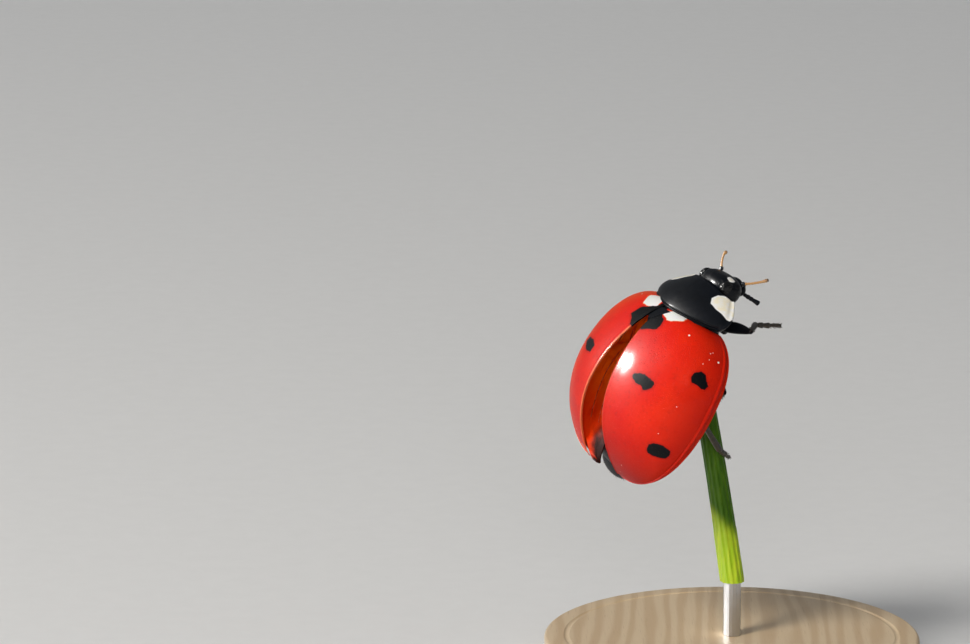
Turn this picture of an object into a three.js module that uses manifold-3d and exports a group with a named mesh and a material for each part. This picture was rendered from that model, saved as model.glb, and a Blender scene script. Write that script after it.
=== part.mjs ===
// A seven-spot ladybird on a short length of grass stem, life size, on a plain display stand.
// Millimetres, +Z up. The origin is the centre of the stand base's underside.
import * as THREE from 'three';
import { mergeVertices } from 'three/addons/utils/BufferGeometryUtils.js';
import Module from 'manifold-3d';

const wasm = await Module();
wasm.setup();

// ---------------------------------------------------------------- driving dimensions

const GAP = 0.05; // clearance between neighbouring solids
const SEAT = 0.01; // clearance where the rod stands on the base and the stem on the rod

// display stand
const BASE_RADIUS = 6;
const BASE_HEIGHT = 1.5;
const BASE_ROUND = 0.25;
const ROD_RADIUS = 0.28;

// stem: centre of its lower cut end, the way it leans, its length and radii
const STEM_FOOT = new THREE.Vector3(0, 0, 3.27);
const STEM_LEAN = new THREE.Vector3(-1.0, 0.866, 6.24);
const STEM_BOW = 0.06;
const STEM_FOOT_RADIUS = 0.4;
const STEM_TIP_RADIUS = 0.34;

// attitude of the insect: its scutellum point and its yaw, pitch and roll
const SCUTELLUM_PLACE = new THREE.Vector3(-2.25, -0.484, 12.3);
const BODY_YAW = 5.98;
const BODY_PITCH = -62.8;
const BODY_ROLL = 28.78;

// The body frame: x forward, y to the left, z up from the plane of the wing-case margins.
const SCUTELLUM = new THREE.Vector3(1.76, 0, 1.4);

// wing-case dome: half width, height, where each is greatest, and its reach fore and aft
const CASE_HALF_WIDTH = 2.836;
const CASE_HEIGHT = 2.109;
const CASE_WIDEST = -0.57;
const CASE_HIGHEST = -0.392;
const CASE_TIP = -3.77;
const CASE_WIDTH_REACH = 2.42;
const CASE_HEIGHT_REACH = 2.673;
const CASE_THICKNESS = 0.5;
const SHOULDER_CUT = 0.03;
const SCUTELLUM_RISE = 0.13;
const HINGE_DEPTH = 0.3;
const HINGE_SEAT = new THREE.Vector3(1.793, 0.03, 1.102);

// how the wing cases are held about their hinges, in degrees: the left one is opened further
const CASE_HOLD = {
  left: { opening: 9.74, lift: 3.98, twist: 1.61 },
  right: { opening: 1.73, lift: -0.24, twist: -0.46 },
};

// pronotum, as points measured from the scutellum point
const PRONOTUM_BASE = new THREE.Vector3(0.06, 0, -0.045);
const PRONOTUM_FRONT = new THREE.Vector3(1.335, 0, -0.82);
const HIND_CORNER = new THREE.Vector3(0.19, 1.6, -1.03);
const FRONT_CORNER = new THREE.Vector3(1.13, 1.08, -1.55);
const PRONOTUM_BULGE = 0.25;
const PRONOTUM_THICKNESS = 0.4;
const PRONOTUM_EDGE = 0.14;

// head, eyes and feelers
const HEAD_CENTRE = new THREE.Vector3(3.05, 0, -0.275);
const HEAD_RADII = new THREE.Vector3(0.465, 0.76, 0.565);
const EYE_CENTRE = new THREE.Vector3(3.12, 0.59, -0.03);
const EYE_RADII = new THREE.Vector3(0.27, 0.18, 0.28);
const MOUTH_CENTRE = new THREE.Vector3(3.2, 0, -0.76);
const MOUTH_RADII = new THREE.Vector3(0.24, 0.32, 0.22);
const FEELER_RADIUS = 0.2;
const FEELER_CLUB_RADIUS = 0.24;
const PALP_RADIUS = 0.2;

// trunk
const THORAX_CENTRE = new THREE.Vector3(1.0, 0, 0);
const THORAX_RADII = new THREE.Vector3(0.9, 1.6, 0.62);
const PROTHORAX_CENTRE = new THREE.Vector3(2.2, 0, -0.02);
const PROTHORAX_RADII = new THREE.Vector3(0.62, 1.2, 0.62);
const ABDOMEN_CENTRE = new THREE.Vector3(-1.75, 0, -0.08);
const ABDOMEN_RADII = new THREE.Vector3(1.85, 2.05, 0.62);
const WING_REACH = new THREE.Vector3(2.2, 2.4, 0.64);
const WING_ROOT = 0.45;
const WING_TIPS = { left: -3.5, right: -3.05 };
const WING_BREADTH = 2.25;
const WING_THICKNESS = 0.5;

// legs
const FEMUR_RADIUS = 0.27;
const TIBIA_RADIUS = 0.23;
const TARSUS_RADIUS = 0.22;

// ---------------------------------------------------------------- finishes

function finish(color, roughness, metalness = 0) {
  return () => new THREE.MeshStandardMaterial({ color, roughness, metalness });
}

const glossRed = finish('#c8140a', 0.25);
const satinBlack = finish('#0c0d10', 0.35);
const eyeBlack = finish('#060607', 0.2);
const feelerTan = finish('#b5793a', 0.5);
const legBrown = finish('#3a322a', 0.5);
const wingAmber = finish('#8a3c12', 0.4);
const stemGreen = finish('#6f9a2a', 0.5);
const baseWood = finish('#d9c3a0', 0.5);
const rodSteel = finish('#b9bcc0', 0.3, 1);

// ---------------------------------------------------------------- small tools

const group = new THREE.Group();
const insect = new THREE.Group();
const degrees = THREE.MathUtils.degToRad;
const vector = (x, y, z) => new THREE.Vector3(x, y, z);

function add(parent, name, geometry, material) {
  const mesh = new THREE.Mesh(geometry, material());
  mesh.name = name;
  geometry.computeVertexNormals();
  parent.add(mesh);
  return mesh;
}

// Moves every vertex of a geometry to where `place` sends it.
function reshape(geometry, place) {
  const position = geometry.attributes.position;
  for (let i = 0; i < position.count; i += 1) {
    const moved = place(position.getX(i), position.getY(i), position.getZ(i));
    position.setXYZ(i, moved.x, moved.y, moved.z);
  }
  geometry.deleteAttribute('normal');
  geometry.deleteAttribute('uv');
  return mergeVertices(geometry, 1e-4);
}

function turnedOver(geometry) {
  const index = geometry.index;
  for (let i = 0; i < index.count; i += 3) {
    const second = index.getX(i + 1);
    index.setX(i + 1, index.getX(i + 2));
    index.setX(i + 2, second);
  }
  return geometry;
}

// Swaps left and right, keeping the faces pointing out.
const mirrored = (geometry) => turnedOver(geometry.clone().scale(1, -1, 1));

const sided = (geometry, side) => (side > 0 ? geometry : mirrored(geometry));

// A plate between two skins: place(u, v, w), where u runs backwards along the body, v runs to the
// left and w from the inner skin to the outer one.
function plate(uSteps, vSteps, place) {
  const box = new THREE.BoxGeometry(1, 1, 1, uSteps, vSteps, 1);
  return turnedOver(reshape(box, (x, y, z) => place(x + 0.5, y + 0.5, z + 0.5)));
}

// A rounded solid with the given radii; a power of 2 is an ellipsoid, and more is boxier.
function pebble(centre, radii, power, around, along, grow = 0) {
  const ball = new THREE.SphereGeometry(1, around, along);
  return reshape(ball, (x, y, z) => {
    const sum = Math.abs(x) ** power + Math.abs(y) ** power + Math.abs(z) ** power;
    const reach = sum ** (-1 / power);
    return vector(
      centre.x + x * reach * (radii.x + grow),
      centre.y + y * reach * (radii.y + grow),
      centre.z + z * reach * (radii.z + grow),
    );
  });
}

// A round-ended limb along a smooth path; radius(s) with s from 0 to 1 along it.
function limb(points, radius, { around = 10, along = 6, cap = 2, grow = 0 } = {}) {
  const path = new THREE.CatmullRomCurve3(points);
  const chord = points[points.length - 1].clone().sub(points[0]);
  const steep = Math.abs(chord.normalize().z) > 0.9;
  const upright = steep ? vector(1, 0, 0) : vector(0, 0, 1);
  const capsule = new THREE.CapsuleGeometry(1, along, cap, around, along);
  return reshape(capsule, (x, y, z) => {
    const inside = THREE.MathUtils.clamp(y, -along / 2, along / 2);
    const s = inside / along + 0.5;
    const size = radius(s) + grow;
    const ahead = path.getTangent(s);
    const side = upright.clone().cross(ahead).normalize();
    const top = ahead.clone().cross(side);
    return path.getPoint(s)
      .addScaledVector(ahead, (y - inside) * size)
      .addScaledVector(side, z * size)
      .addScaledVector(top, x * size);
  });
}

function toSolid(geometry) {
  const bare = mergeVertices(geometry.clone(), 1e-4);
  return new wasm.Manifold(new wasm.Mesh({
    numProp: 3,
    vertProperties: new Float32Array(bare.attributes.position.array),
    triVerts: new Uint32Array(bare.index.array),
  }));
}

function fromSolid(solid) {
  const mesh = solid.getMesh();
  const geometry = new THREE.BufferGeometry();
  geometry.setAttribute('position', new THREE.BufferAttribute(mesh.vertProperties, 3));
  geometry.setIndex(new THREE.BufferAttribute(mesh.triVerts, 1));
  return geometry;
}

// Cuts a geometry by its neighbours and keeps the largest piece that is left.
function trimmed(geometry, cutters) {
  let solid = toSolid(geometry);
  for (const cutter of cutters) {
    solid = solid.subtract(toSolid(cutter));
  }
  const pieces = solid.decompose();
  pieces.sort((a, b) => b.volume() - a.volume());
  return fromSolid(pieces[0].simplify(0.004));
}

// ---------------------------------------------------------------- wing cases

// Width or height of the dome at x: greatest at `peak`, falling to nothing fore and aft.
function dome(x, most, peak, reach, [aftPower, aftRoot, forePower, foreRoot]) {
  if (x < peak) {
    const aft = Math.min((peak - x) / (peak - CASE_TIP), 1);
    return most * (1 - aft ** aftPower) ** aftRoot;
  }
  const fore = Math.min((x - peak) / reach, 1);
  return most * (1 - fore ** forePower) ** foreRoot;
}

const WIDTH_CURVE = [1.933, 0.362, 2.511, 0.315];
const HEIGHT_CURVE = [2.368, 0.863, 1.721, 0.393];
const caseWidth = (x) => dome(x, CASE_HALF_WIDTH, CASE_WIDEST, CASE_WIDTH_REACH, WIDTH_CURVE);
const caseHeight = (x) => dome(x, CASE_HEIGHT, CASE_HIGHEST, CASE_HEIGHT_REACH, HEIGHT_CURVE);

const hinge = vector(SCUTELLUM.x, 0, caseHeight(SCUTELLUM.x) - HINGE_DEPTH);

// The left wing case about its hinge: u runs from base to tip, v from suture to margin.
function wingCase(grow = 0) {
  const tip = CASE_TIP + 0.012;
  return plate(18, 8, (u, v, w) => {
    const edge = 1 - (1 - v) ** 1.25;
    const front = SCUTELLUM.x - SHOULDER_CUT * edge ** 10;
    const x = THREE.MathUtils.lerp(front, tip, 1 - (1 - u) ** 1.5);
    const width = caseWidth(x);
    const height = caseHeight(x);
    const inset = (1 - w) * (Math.min(CASE_THICKNESS, 0.75 * width) + grow) - w * grow;
    const drop = (1 - w) * (Math.min(CASE_THICKNESS, 0.75 * height) + grow) - w * grow;
    const arch = (1 - edge ** 1.835) ** 0.57;
    return vector(x - hinge.x, edge * (width - inset), (height - drop) * arch - hinge.z);
  });
}

// ---------------------------------------------------------------- pronotum

// A point of the shield: u from base to front, v from right (-1) to left (1).
function shieldPoint(u, v) {
  const side = Math.abs(v);
  const middle = vector(
    THREE.MathUtils.lerp(PRONOTUM_BASE.x, PRONOTUM_FRONT.x, u),
    0,
    THREE.MathUtils.lerp(PRONOTUM_BASE.z, PRONOTUM_FRONT.z, u ** 1.6),
  );
  const bulge = PRONOTUM_BULGE * Math.sin(Math.PI * u ** 0.8);
  const margin = vector(
    THREE.MathUtils.lerp(HIND_CORNER.x, FRONT_CORNER.x, u),
    THREE.MathUtils.lerp(HIND_CORNER.y, FRONT_CORNER.y, u ** 1.76) + bulge,
    THREE.MathUtils.lerp(HIND_CORNER.z, FRONT_CORNER.z, u),
  );
  const arch = (1 - side ** 1.6) ** 0.657;
  return vector(
    SCUTELLUM.x + THREE.MathUtils.lerp(middle.x, margin.x, side ** 1.56),
    Math.sign(v) * side * margin.y,
    SCUTELLUM.z + THREE.MathUtils.lerp(margin.z, middle.z, arch),
  );
}

function shieldNormal(u, v) {
  const step = 0.02;
  const u0 = Math.max(u - step, 0);
  const u1 = Math.min(u + step, 1);
  const v0 = THREE.MathUtils.clamp(v, -0.96, 0.96) - step;
  const along = shieldPoint(u1, v).sub(shieldPoint(u0, v));
  const across = shieldPoint(u, v0 + 2 * step).sub(shieldPoint(u, v0));
  return along.cross(across).normalize();
}

function shield(grow = 0) {
  return plate(9, 16, (back, t, w) => {
    const u = 1 - back;
    const v = Math.sin((t - 0.5) * Math.PI);
    const rim = Math.min(1, 4 * (1 - Math.abs(v)), 3 * (1 - u) + 0.35, 3 * u + 0.5);
    const depth = THREE.MathUtils.lerp(PRONOTUM_EDGE, PRONOTUM_THICKNESS, rim);
    const point = shieldPoint(u, v);
    const out = shieldNormal(u, v);
    const spread = grow * (2 * u - 1);
    point.addScaledVector(out, w > 0.5 ? grow : -depth - grow);
    return point.add(vector(spread, Math.sign(v) * grow * Math.abs(v) ** 4, 0));
  });
}

// ---------------------------------------------------------------- hind wings and abdomen

// Upper side of the abdomen and, a little above it, of the folded hind wings.
function backHeight(x, y) {
  const fore = Math.min(Math.abs((x - ABDOMEN_CENTRE.x) / WING_REACH.x), 1);
  const side = Math.min(Math.abs(y / WING_REACH.y), 1);
  const rise = Math.max(1 - fore ** 2.4 - side ** 2.4, 0) ** (1 / 2.4);
  return ABDOMEN_CENTRE.z + GAP + WING_REACH.z * rise;
}

// The left folded hind wing: u from root to tip, v from the midline outwards.
function foldedWing(tip) {
  return plate(12, 5, (u, v, w) => {
    const x = THREE.MathUtils.lerp(WING_ROOT, tip, u);
    const swell = 0.62 + 0.38 * Math.sin(Math.PI * Math.min(u + 0.15, 1));
    const breadth = WING_BREADTH * (1 - u ** 3) ** 0.5 * swell;
    const y = GAP / 2 + v * (breadth + 0.1);
    const thin = WING_THICKNESS * (1 - 0.25 * v ** 3) * (1 - 0.3 * u ** 4);
    return vector(x, y, backHeight(x, y) + w * thin);
  });
}

// ---------------------------------------------------------------- legs

// Joints of each leg in the body frame: hip, knee, ankle and toe.
const LEGS = {
  fore_right: [vector(1.95, -0.5, -0.66), vector(2.27, -1.48, -0.98), vector(2.43, -0.84, -1.59),
    vector(2.79, -1.24, -2.3)],
  mid_right: [vector(0.55, -0.8, -0.66), vector(0.27, -1.85, -0.67), vector(-0.64, -1.19, -1.25),
    vector(-1.36, -1.05, -1.32)],
  hind_right: [vector(-0.5, -0.75, -0.68), vector(-0.88, -1.64, -0.72), vector(-1.6, -1.7, -1.99),
    vector(-1.74, -1.43, -2.74)],
  fore_left: [vector(1.95, 0.5, -0.66), vector(1.55, 1.15, -1.2), vector(0.66, 0.45, -1.5),
    vector(0.12, 0.02, -1.24)],
  mid_left: [vector(0.55, 0.8, -0.66), vector(0.45, 1.75, -1.0), vector(-0.22, 0.95, -1.6),
    vector(-0.5, 0.38, -1.84)],
  hind_left: [vector(-0.5, 0.75, -0.68), vector(-1.1, 1.55, -1.2), vector(-1.4, 0.52, -2.1),
    vector(-1.43, -0.12, -2.36)],
};

function legPieces([hip, knee, ankle, toe], grow = 0) {
  const swell = (base) => (s) => base * (0.88 + 0.12 * Math.sin(Math.PI * s));
  const thigh = [hip, hip.clone().lerp(knee, 0.5), knee];
  const shin = [knee, knee.clone().lerp(ankle, 0.5), ankle];
  const foot = [ankle, ankle.clone().lerp(toe, 0.5), toe];
  return {
    femur: limb(thigh, swell(FEMUR_RADIUS), { around: 8, along: 4, grow }),
    tibia: limb(shin, swell(TIBIA_RADIUS), { around: 8, along: 4, grow }),
    tarsus: limb(foot, swell(TARSUS_RADIUS), { around: 8, along: 3, grow }),
  };
}

// ---------------------------------------------------------------- stem and stand

const stemTip = STEM_FOOT.clone().add(STEM_LEAN);
const stemPath = new THREE.QuadraticBezierCurve3(
  STEM_FOOT,
  STEM_FOOT.clone().lerp(stemTip, 0.5).add(vector(STEM_BOW, 0, 0)),
  stemTip,
);

function stem(grow = 0) {
  const steps = 8;
  const rod = new THREE.CylinderGeometry(1, 1, 1, 16, steps);
  return reshape(rod, (x, y, z) => {
    const s = y + 0.5;
    const ahead = stemPath.getTangent(s);
    const side = vector(0, 1, 0).cross(ahead).normalize();
    const front = ahead.clone().cross(side);
    const radius = THREE.MathUtils.lerp(STEM_FOOT_RADIUS, STEM_TIP_RADIUS, s) + grow;
    const point = stemPath.getPoint(s)
      .addScaledVector(side, z * radius)
      .addScaledVector(front, x * radius)
      .addScaledVector(ahead, (2 * s - 1) * grow);
    const level = s === 0 ? (STEM_FOOT.z - point.z) / ahead.z : 0;
    return point.addScaledVector(ahead, level);
  });
}

function standBase() {
  const corner = BASE_ROUND * (1 - Math.SQRT1_2);
  const profile = [
    new THREE.Vector2(0, 0),
    new THREE.Vector2(BASE_RADIUS - 0.1, 0),
    new THREE.Vector2(BASE_RADIUS, 0.1),
    new THREE.Vector2(BASE_RADIUS, BASE_HEIGHT - BASE_ROUND),
    new THREE.Vector2(BASE_RADIUS - corner, BASE_HEIGHT - corner),
    new THREE.Vector2(BASE_RADIUS - BASE_ROUND, BASE_HEIGHT),
    new THREE.Vector2(0, BASE_HEIGHT),
  ];
  return new THREE.LatheGeometry(profile, 32).rotateX(Math.PI / 2);
}

function standRod() {
  const low = BASE_HEIGHT + SEAT;
  const high = STEM_FOOT.z - SEAT;
  const rod = new THREE.CylinderGeometry(ROD_RADIUS, ROD_RADIUS, high - low, 16);
  return rod.rotateX(Math.PI / 2).translate(0, 0, (low + high) / 2);
}

add(group, 'stand_base', standBase(), baseWood);
add(group, 'stand_rod', standRod(), rodSteel);
add(group, 'stem_perch', stem(), stemGreen);

// ---------------------------------------------------------------- the insect

insect.rotation.set(degrees(BODY_ROLL), degrees(BODY_PITCH), degrees(BODY_YAW), 'ZYX');
insect.position.copy(SCUTELLUM_PLACE).sub(SCUTELLUM.clone().applyEuler(insect.rotation));
insect.updateMatrixWorld(true);
group.add(insect);

const stemAsSeen = stem(GAP).applyMatrix4(insect.matrixWorld.clone().invert());

// A cutter a little larger than the scutellum or the piece itself.
function scutellum(grow = 0) {
  return plate(3, 6, (u, v, w) => {
    const half = 0.34 * (1 - u) ** 0.8 + 0.03 + grow;
    const x = THREE.MathUtils.lerp(1.74 + grow, 1.28 - grow, u);
    const y = (v - 0.5) * 2 * half;
    const rise = caseHeight(x) + SCUTELLUM_RISE + grow - 0.4 * y * y;
    return vector(x, y, w > 0.5 ? rise : rise - 0.35 - 2 * grow);
  });
}

// the rounded masses of the body, each of which can also be grown into a cutter
const headForm = (grow = 0) => pebble(HEAD_CENTRE, HEAD_RADII, 2.4, 18, 12, grow);
const prothoraxForm = (grow = 0) => pebble(PROTHORAX_CENTRE, PROTHORAX_RADII, 2.6, 14, 8, grow);
const thoraxForm = (grow = 0) => pebble(THORAX_CENTRE, THORAX_RADII, 2.8, 16, 10, grow);
const abdomenForm = (grow = 0) => pebble(ABDOMEN_CENTRE, ABDOMEN_RADII, 2.4, 20, 12, grow);
const mouthForm = (grow = 0) => pebble(MOUTH_CENTRE, MOUTH_RADII, 2.4, 14, 8, grow);
const eyeForm = (side, grow = 0) => sided(pebble(EYE_CENTRE, EYE_RADII, 2, 12, 8, grow), side);

const shieldCutter = shield(GAP);
const scutellumCutter = scutellum(GAP);
const headCutter = headForm(GAP);
const prothoraxCutter = prothoraxForm(GAP);
const thoraxCutter = thoraxForm(GAP);
const abdomenCutter = abdomenForm(GAP);
const eyeCutters = [eyeForm(1, GAP), eyeForm(-1, GAP)];
const prothoraxNeighbours = [shieldCutter, headCutter, thoraxCutter];

add(insect, 'pronotum', shield(), satinBlack);
add(insect, 'scutellum', trimmed(scutellum(), [shieldCutter, thoraxCutter]), satinBlack);
add(insect, 'head', trimmed(headForm(), [shieldCutter, ...eyeCutters]), satinBlack);
add(insect, 'prothorax', trimmed(prothoraxForm(), prothoraxNeighbours), satinBlack);
add(insect, 'thorax', trimmed(thoraxForm(), [shieldCutter]), satinBlack);
add(insect, 'abdomen', trimmed(abdomenForm(), [thoraxCutter]), satinBlack);

// mouthparts: upper lip and jaws in one small wedge under the face
add(insect, 'mouthparts', trimmed(mouthForm(), [headCutter]), satinBlack);

// the hinge frame of each wing case, and the room it takes up in the body frame
const SIDES = { left: 1, right: -1 };
const caseGroups = {};
const caseCutters = [];
for (const [word, side] of Object.entries(SIDES)) {
  const { opening, lift, twist } = CASE_HOLD[word];
  const hinged = new THREE.Group();
  hinged.position.set(HINGE_SEAT.x, side * HINGE_SEAT.y, HINGE_SEAT.z);
  hinged.rotation.set(-side * degrees(twist), degrees(lift), -side * degrees(opening), 'ZYX');
  insect.add(hinged);
  hinged.updateMatrix();
  caseGroups[word] = hinged;
  caseCutters.push(sided(wingCase(GAP), side).applyMatrix4(hinged.matrix));
}

for (const [word, side] of Object.entries(SIDES)) {
  const toCase = caseGroups[word].matrix.clone().invert();
  const neighbours = [shieldCutter, scutellumCutter].map((cutter) => cutter.clone().applyMatrix4(toCase));
  const wingCaseSolid = trimmed(sided(wingCase(), side), neighbours);
  add(caseGroups[word], `elytron_${word}`, wingCaseSolid, glossRed);

  const wing = sided(foldedWing(WING_TIPS[word]), side);
  const roundWing = [thoraxCutter, abdomenCutter, ...caseCutters];
  add(insect, `hind_wing_${word}`, trimmed(wing, roundWing), wingAmber);

  add(insect, `eye_${word}`, trimmed(eyeForm(side), [shieldCutter]), eyeBlack);
}

// feelers, each through its own points because the insect holds them apart
const FEELERS = {
  right: [vector(3.44, -0.56, -0.52), vector(3.59, -0.68, -0.77), vector(3.78, -0.79, -1.03),
    vector(3.93, -0.85, -1.2)],
  left: [vector(3.44, 0.56, -0.5), vector(3.69, 0.82, -0.57), vector(3.89, 1.01, -0.68),
    vector(3.98, 1.1, -0.8)],
};
const PALPS = {
  right: [vector(3.16, -0.5, -0.86), vector(3.08, -0.6, -1.0), vector(3.07, -0.69, -1.34)],
  left: [vector(3.16, 0.5, -0.86), vector(3.1, 0.62, -1.0), vector(3.12, 0.7, -1.34)],
};
for (const word of Object.keys(SIDES)) {
  const club = (s) => THREE.MathUtils.lerp(FEELER_RADIUS, FEELER_CLUB_RADIUS, s ** 3);
  const feeler = limb(FEELERS[word], club, { around: 8, along: 6 });
  const palp = limb(PALPS[word], () => PALP_RADIUS, { around: 8, along: 4 });
  const palpCutter = limb(PALPS[word], () => PALP_RADIUS, { around: 8, along: 4, grow: GAP });
  add(insect, `antenna_${word}`, trimmed(feeler, [headCutter, ...eyeCutters, palpCutter]), feelerTan);
  add(insect, `palp_${word}`, trimmed(palp, [headCutter, mouthForm(GAP), prothoraxCutter]), satinBlack);
}

for (const [place, joints] of Object.entries(LEGS)) {
  const [pair, word] = place.split('_');
  const pieces = legPieces(joints);
  const cutters = legPieces(joints, GAP);
  const trunk = [thoraxCutter, prothoraxCutter, abdomenCutter, stemAsSeen];
  add(insect, `femur_${pair}_${word}`, trimmed(pieces.femur, trunk), satinBlack);
  add(insect, `tibia_${pair}_${word}`, trimmed(pieces.tibia, [...trunk, cutters.femur]), legBrown);
  add(insect, `tarsus_${pair}_${word}`, trimmed(pieces.tarsus, [...trunk, cutters.tibia]), legBrown);
}

export default group;
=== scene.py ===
"""A seven-spot ladybird at rest on a cut grass stem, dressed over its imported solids."""
import math
import random

import bpy
from mathutils import Matrix, Vector


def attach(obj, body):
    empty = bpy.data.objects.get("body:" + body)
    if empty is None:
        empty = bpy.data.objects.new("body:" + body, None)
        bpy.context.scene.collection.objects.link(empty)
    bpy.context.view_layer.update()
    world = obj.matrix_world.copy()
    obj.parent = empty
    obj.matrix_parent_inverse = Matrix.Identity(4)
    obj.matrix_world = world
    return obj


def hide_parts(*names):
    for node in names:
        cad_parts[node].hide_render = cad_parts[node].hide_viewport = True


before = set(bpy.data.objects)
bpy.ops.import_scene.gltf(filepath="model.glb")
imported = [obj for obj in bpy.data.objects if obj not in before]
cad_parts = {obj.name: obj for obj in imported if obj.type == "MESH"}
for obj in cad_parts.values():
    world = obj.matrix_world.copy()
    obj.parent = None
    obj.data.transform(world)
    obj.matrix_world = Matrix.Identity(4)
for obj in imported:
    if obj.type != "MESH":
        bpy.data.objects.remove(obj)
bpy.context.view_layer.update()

bl_info = {
    "name": "Museum ladybird",
    "version": (1, 0, 0),
    "blender": (4, 5, 0),
    "location": "3D View > Sidebar > Ladybird",
    "description": "Dresses the packed solids of a life-size ladybird model on its stem and stand",
    "category": "Object",
}

# ---------------------------------------------------------------- measures, in millimetres

MM = 0.001

# Attitude of the insect in the row frame. In the body frame x is forward, y to the left and z up,
# from the plane of the wing-case margins.
SCUTELLUM = Vector((1.76, 0, 1.4))
SCUTELLUM_PLACE = Vector((-2.25, -0.484, 12.3))
BODY_YAW, BODY_PITCH, BODY_ROLL = 5.98, -62.8, 28.78

# wing cases
CASE_HALF_WIDTH, CASE_HEIGHT = 2.836, 2.109
CASE_WIDEST, CASE_HIGHEST, CASE_TIP = -0.57, -0.392, -3.77
CASE_WIDTH_REACH, CASE_HEIGHT_REACH = 2.42, 2.673
WIDTH_CURVE = (1.933, 0.362, 2.511, 0.315)
HEIGHT_CURVE = (2.368, 0.863, 1.721, 0.393)
ARCH_POWER, ARCH_ROOT = 1.835, 0.57
SHOULDER_CUT = 0.03
SCUTELLUM_RISE = 0.13
CASE_SEAT = (1.793, 0.03, 1.102)
HINGE_DEPTH = 0.3
CASE_HOLD = {"left": (9.74, 3.98, 1.61), "right": (1.73, -0.24, -0.46)}
CASE_SKIN = 0.075

# pronotum, from the scutellum point
PRONOTUM_BASE, PRONOTUM_FRONT = Vector((0.06, 0, -0.045)), Vector((1.335, 0, -0.82))
HIND_CORNER, FRONT_CORNER = Vector((0.19, 1.6, -1.03)), Vector((1.13, 1.08, -1.55))
PRONOTUM_BULGE = 0.25

HEAD_CENTRE, HEAD_RADII = Vector((3.05, 0, -0.275)), Vector((0.465, 0.76, 0.565))
EYE_CENTRE, EYE_RADII = Vector((3.12, 0.57, -0.05)), Vector((0.26, 0.17, 0.27))

# trunk masses: centre, radii and squareness
TRUNK_MASSES = (
    (Vector((1.0, 0, 0)), Vector((0.9, 1.6, 0.62)), 2.8),
    (Vector((2.2, 0, -0.02)), Vector((0.62, 1.2, 0.62)), 2.6),
    (Vector((-1.75, 0, -0.08)), Vector((1.85, 2.05, 0.62)), 2.4),
    (Vector((0.1, 0, -0.04)), Vector((0.6, 1.3, 0.54)), 2.2),
    (Vector((1.8, 0, 0)), Vector((0.5, 1.0, 0.52)), 2.2),
)
TAIL_CENTRE, TAIL_RADII = Vector((-3.1, 0.12, -0.1)), Vector((0.78, 1.15, 0.33))
ABDOMEN_X, ABDOMEN_Z = -1.75, -0.08
WING_REACH = Vector((2.2, 2.4, 0.64))
WING_ROOT, WING_TIPS, WING_BREADTH = 1.5, {"left": -3.66, "right": -3.5}, 2.35
WING_THICKNESS = 0.5

# hip, knee, ankle and toe of each leg
LEGS = {
    "fore_right": ((1.95, -0.5, -0.66), (2.27, -1.48, -0.98), (2.43, -0.84, -1.59), (2.79, -1.24, -2.3)),
    "mid_right": ((0.55, -0.8, -0.66), (0.27, -2.06, -0.67), (-0.64, -1.19, -1.25), (-1.36, -1.05, -1.32)),
    "hind_right": ((-0.5, -0.75, -0.68), (-0.88, -1.64, -0.72), (-1.6, -1.7, -1.99), (-1.74, -1.43, -2.74)),
    "fore_left": ((1.95, 0.5, -0.66), (1.55, 1.15, -1.2), (0.66, 0.45, -1.5), (0.12, 0.02, -1.24)),
    "mid_left": ((0.55, 0.8, -0.66), (0.45, 1.75, -1.0), (-0.22, 0.95, -1.6), (-0.5, 0.38, -1.84)),
    "hind_left": ((-0.5, 0.75, -0.68), (-1.1, 1.55, -1.2), (-1.4, 0.52, -2.1), (-1.43, -0.12, -2.36)),
}
FEELERS = {
    "right": ((3.44, -0.56, -0.52), (3.59, -0.68, -0.77), (3.78, -0.79, -1.03), (3.93, -0.85, -1.2)),
    "left": ((3.44, 0.56, -0.5), (3.69, 0.82, -0.57), (3.89, 1.01, -0.68), (3.98, 1.1, -0.8)),
}
PALPS = {
    "right": ((3.16, -0.5, -0.86), (3.13, -0.6, -1.12), (3.09, -0.72, -1.43)),
    "left": ((3.16, 0.5, -0.86), (3.14, 0.6, -1.12), (3.12, 0.72, -1.43)),
}

# stem and stand, in the row frame
STEM_FOOT, STEM_LEAN, STEM_BOW = Vector((0, 0, 3.27)), Vector((-1.0, 0.866, 6.24)), 0.06
STEM_FOOT_RADIUS, STEM_TIP_RADIUS = 0.4, 0.34
BASE_RADIUS, BASE_HEIGHT = 6.0, 1.5

# camera: height of view above the floor, distance, lens and the aim beside the scutellum
VIEW_ELEVATION = 12.0
VIEW_DISTANCE = 157.0
LENS, SENSOR = 185.25, 36.0
AIM_RIGHT, AIM_UP = -5.644, -0.462


# ---------------------------------------------------------------- small tools

def lerp(a, b, t):
    return a + (b - a) * t


def clamp(value, low=0.0, high=1.0):
    return max(low, min(high, value))


def turn(axis, degrees):
    return Matrix.Rotation(math.radians(degrees), 4, axis)


def body_to_row():
    """From the body frame in millimetres to the row frame in metres."""
    attitude = turn("Z", BODY_YAW) @ turn("Y", BODY_PITCH) @ turn("X", BODY_ROLL)
    return (Matrix.Scale(MM, 4) @ Matrix.Translation(SCUTELLUM_PLACE) @ attitude
            @ Matrix.Translation(-SCUTELLUM))


def row_to_metres():
    return Matrix.Scale(MM, 4)


def side_sign(side):
    return 1 if side == "left" else -1


def nothing_selected():
    if bpy.context.object and bpy.context.object.mode != "OBJECT":
        bpy.ops.object.mode_set(mode="OBJECT")
    bpy.ops.object.select_all(action="DESELECT")


def pick(piece):
    nothing_selected()
    piece.select_set(True)
    bpy.context.view_layer.objects.active = piece


def edit_all(piece):
    pick(piece)
    bpy.ops.object.mode_set(mode="EDIT")
    bpy.ops.mesh.select_all(action="SELECT")


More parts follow.
